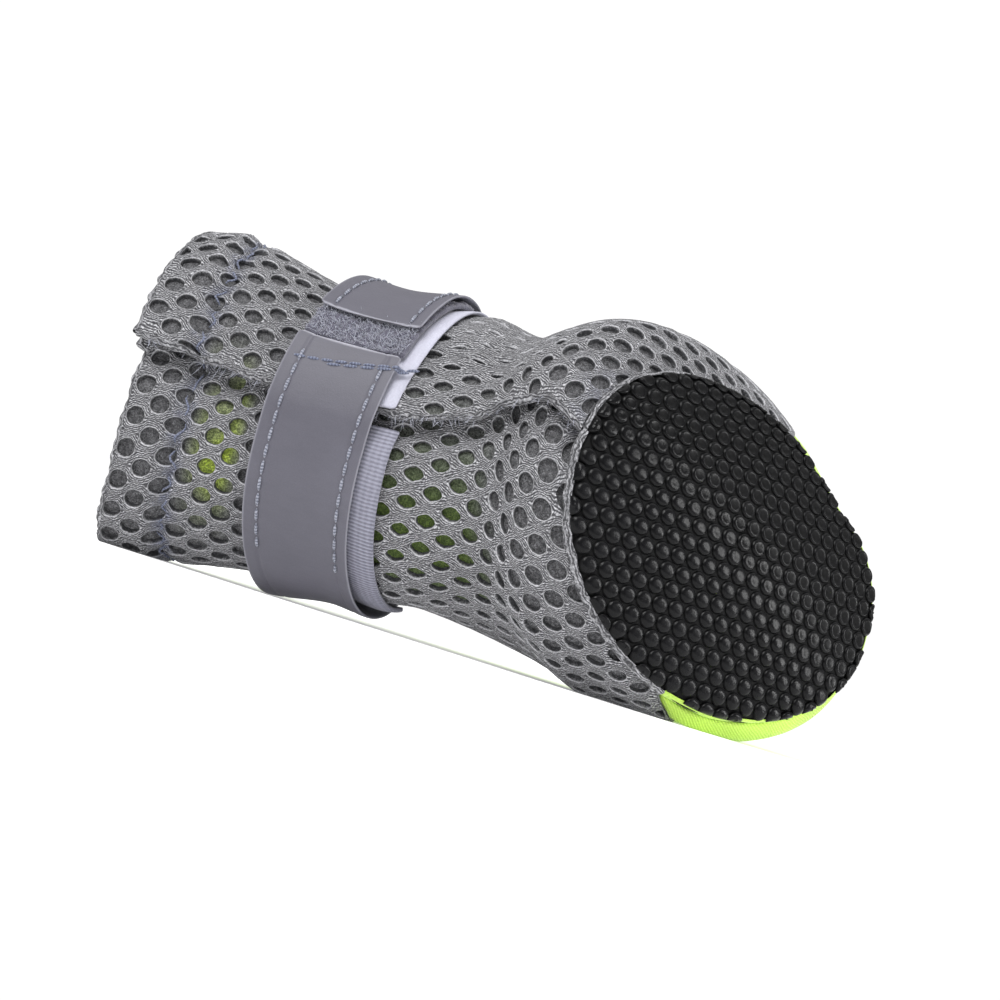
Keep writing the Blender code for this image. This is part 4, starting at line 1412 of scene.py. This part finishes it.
scene = bpy.context.scene
scene.view_settings.view_transform = "Standard"
world = bpy.data.worlds.new("studio")
world.use_nodes = True
scene.world = world
tree = world.node_tree
backdrop = tree.nodes["Background"]
backdrop.inputs["Color"].default_value = (1.0, 1.0, 1.0, 1.0)
ray = tree.nodes.new("ShaderNodeLightPath")
direction = tree.nodes.new("ShaderNodeTexCoord")
parts = tree.nodes.new("ShaderNodeSeparateXYZ")
tree.links.new(direction.outputs["Generated"], parts.inputs[0])
sky = tree.nodes.new("ShaderNodeMapRange")
tree.links.new(parts.outputs["Z"], sky.inputs[0])
for place, number in zip(sky.inputs[1:5], (-0.3, 0.9, 0.22, 0.66)):
    place.default_value = number
level = tree.nodes.new("ShaderNodeMapRange")
tree.links.new(ray.outputs["Is Camera Ray"], level.inputs[0])
tree.links.new(sky.outputs[0], level.inputs[3])
level.inputs[4].default_value = 1.05
tree.links.new(level.outputs[0], backdrop.inputs["Strength"])


def lamp(name, place, aim, size, power, turned=0.0):
    light = bpy.data.lights.new(name, "AREA")
    light.shape = "RECTANGLE"
    light.size, light.size_y = size
    light.energy = power
    made = bpy.data.objects.new(name, light)
    made.location = place
    facing = (Vector(aim) - Vector(place)).to_track_quat("-Z", "Y")
    made.rotation_euler = (facing @ Quaternion((0.0, 0.0, 1.0), math.radians(turned))).to_euler()
    bpy.context.scene.collection.objects.link(made)


lamp("key", (-0.38, -0.62, 0.90), (0.0, 0.0, 0.03), (0.6, 0.6), 12.0)
lamp("top", (0.1, 0.25, 1.1), (0.0, 0.0, 0.0), (1.2, 1.2), 3.0)
lamp("fill", (0.75, -0.65, 0.35), (0.0, 0.0, 0.03), (0.5, 0.5), 0.6)
lamp("sheen", (0.565, -0.13, 0.215), (0.03, -0.02, 0.03), (0.07, 0.42), 1.7, 45.0)

camera_data = bpy.data.cameras.new("camera")
camera_data.sensor_width = 36.0
camera_data.lens = 141.2
camera_data.clip_start = 0.01
camera_data.shift_x = -0.017
camera_data.shift_y = -0.023
camera = bpy.data.objects.new("camera", camera_data)
aim = Vector((0.0, 0.0, 0.0285))
look_up = math.radians(2.0)
camera.location = aim - Vector((0.0, math.cos(look_up), math.sin(look_up))) * 0.6
turned = (aim - camera.location).to_track_quat("-Z", "Y") @ Quaternion((0.0, 0.0, 1.0), math.radians(17.5))
camera.rotation_euler = turned.to_euler()
scene.collection.objects.link(camera)
scene.camera = camera
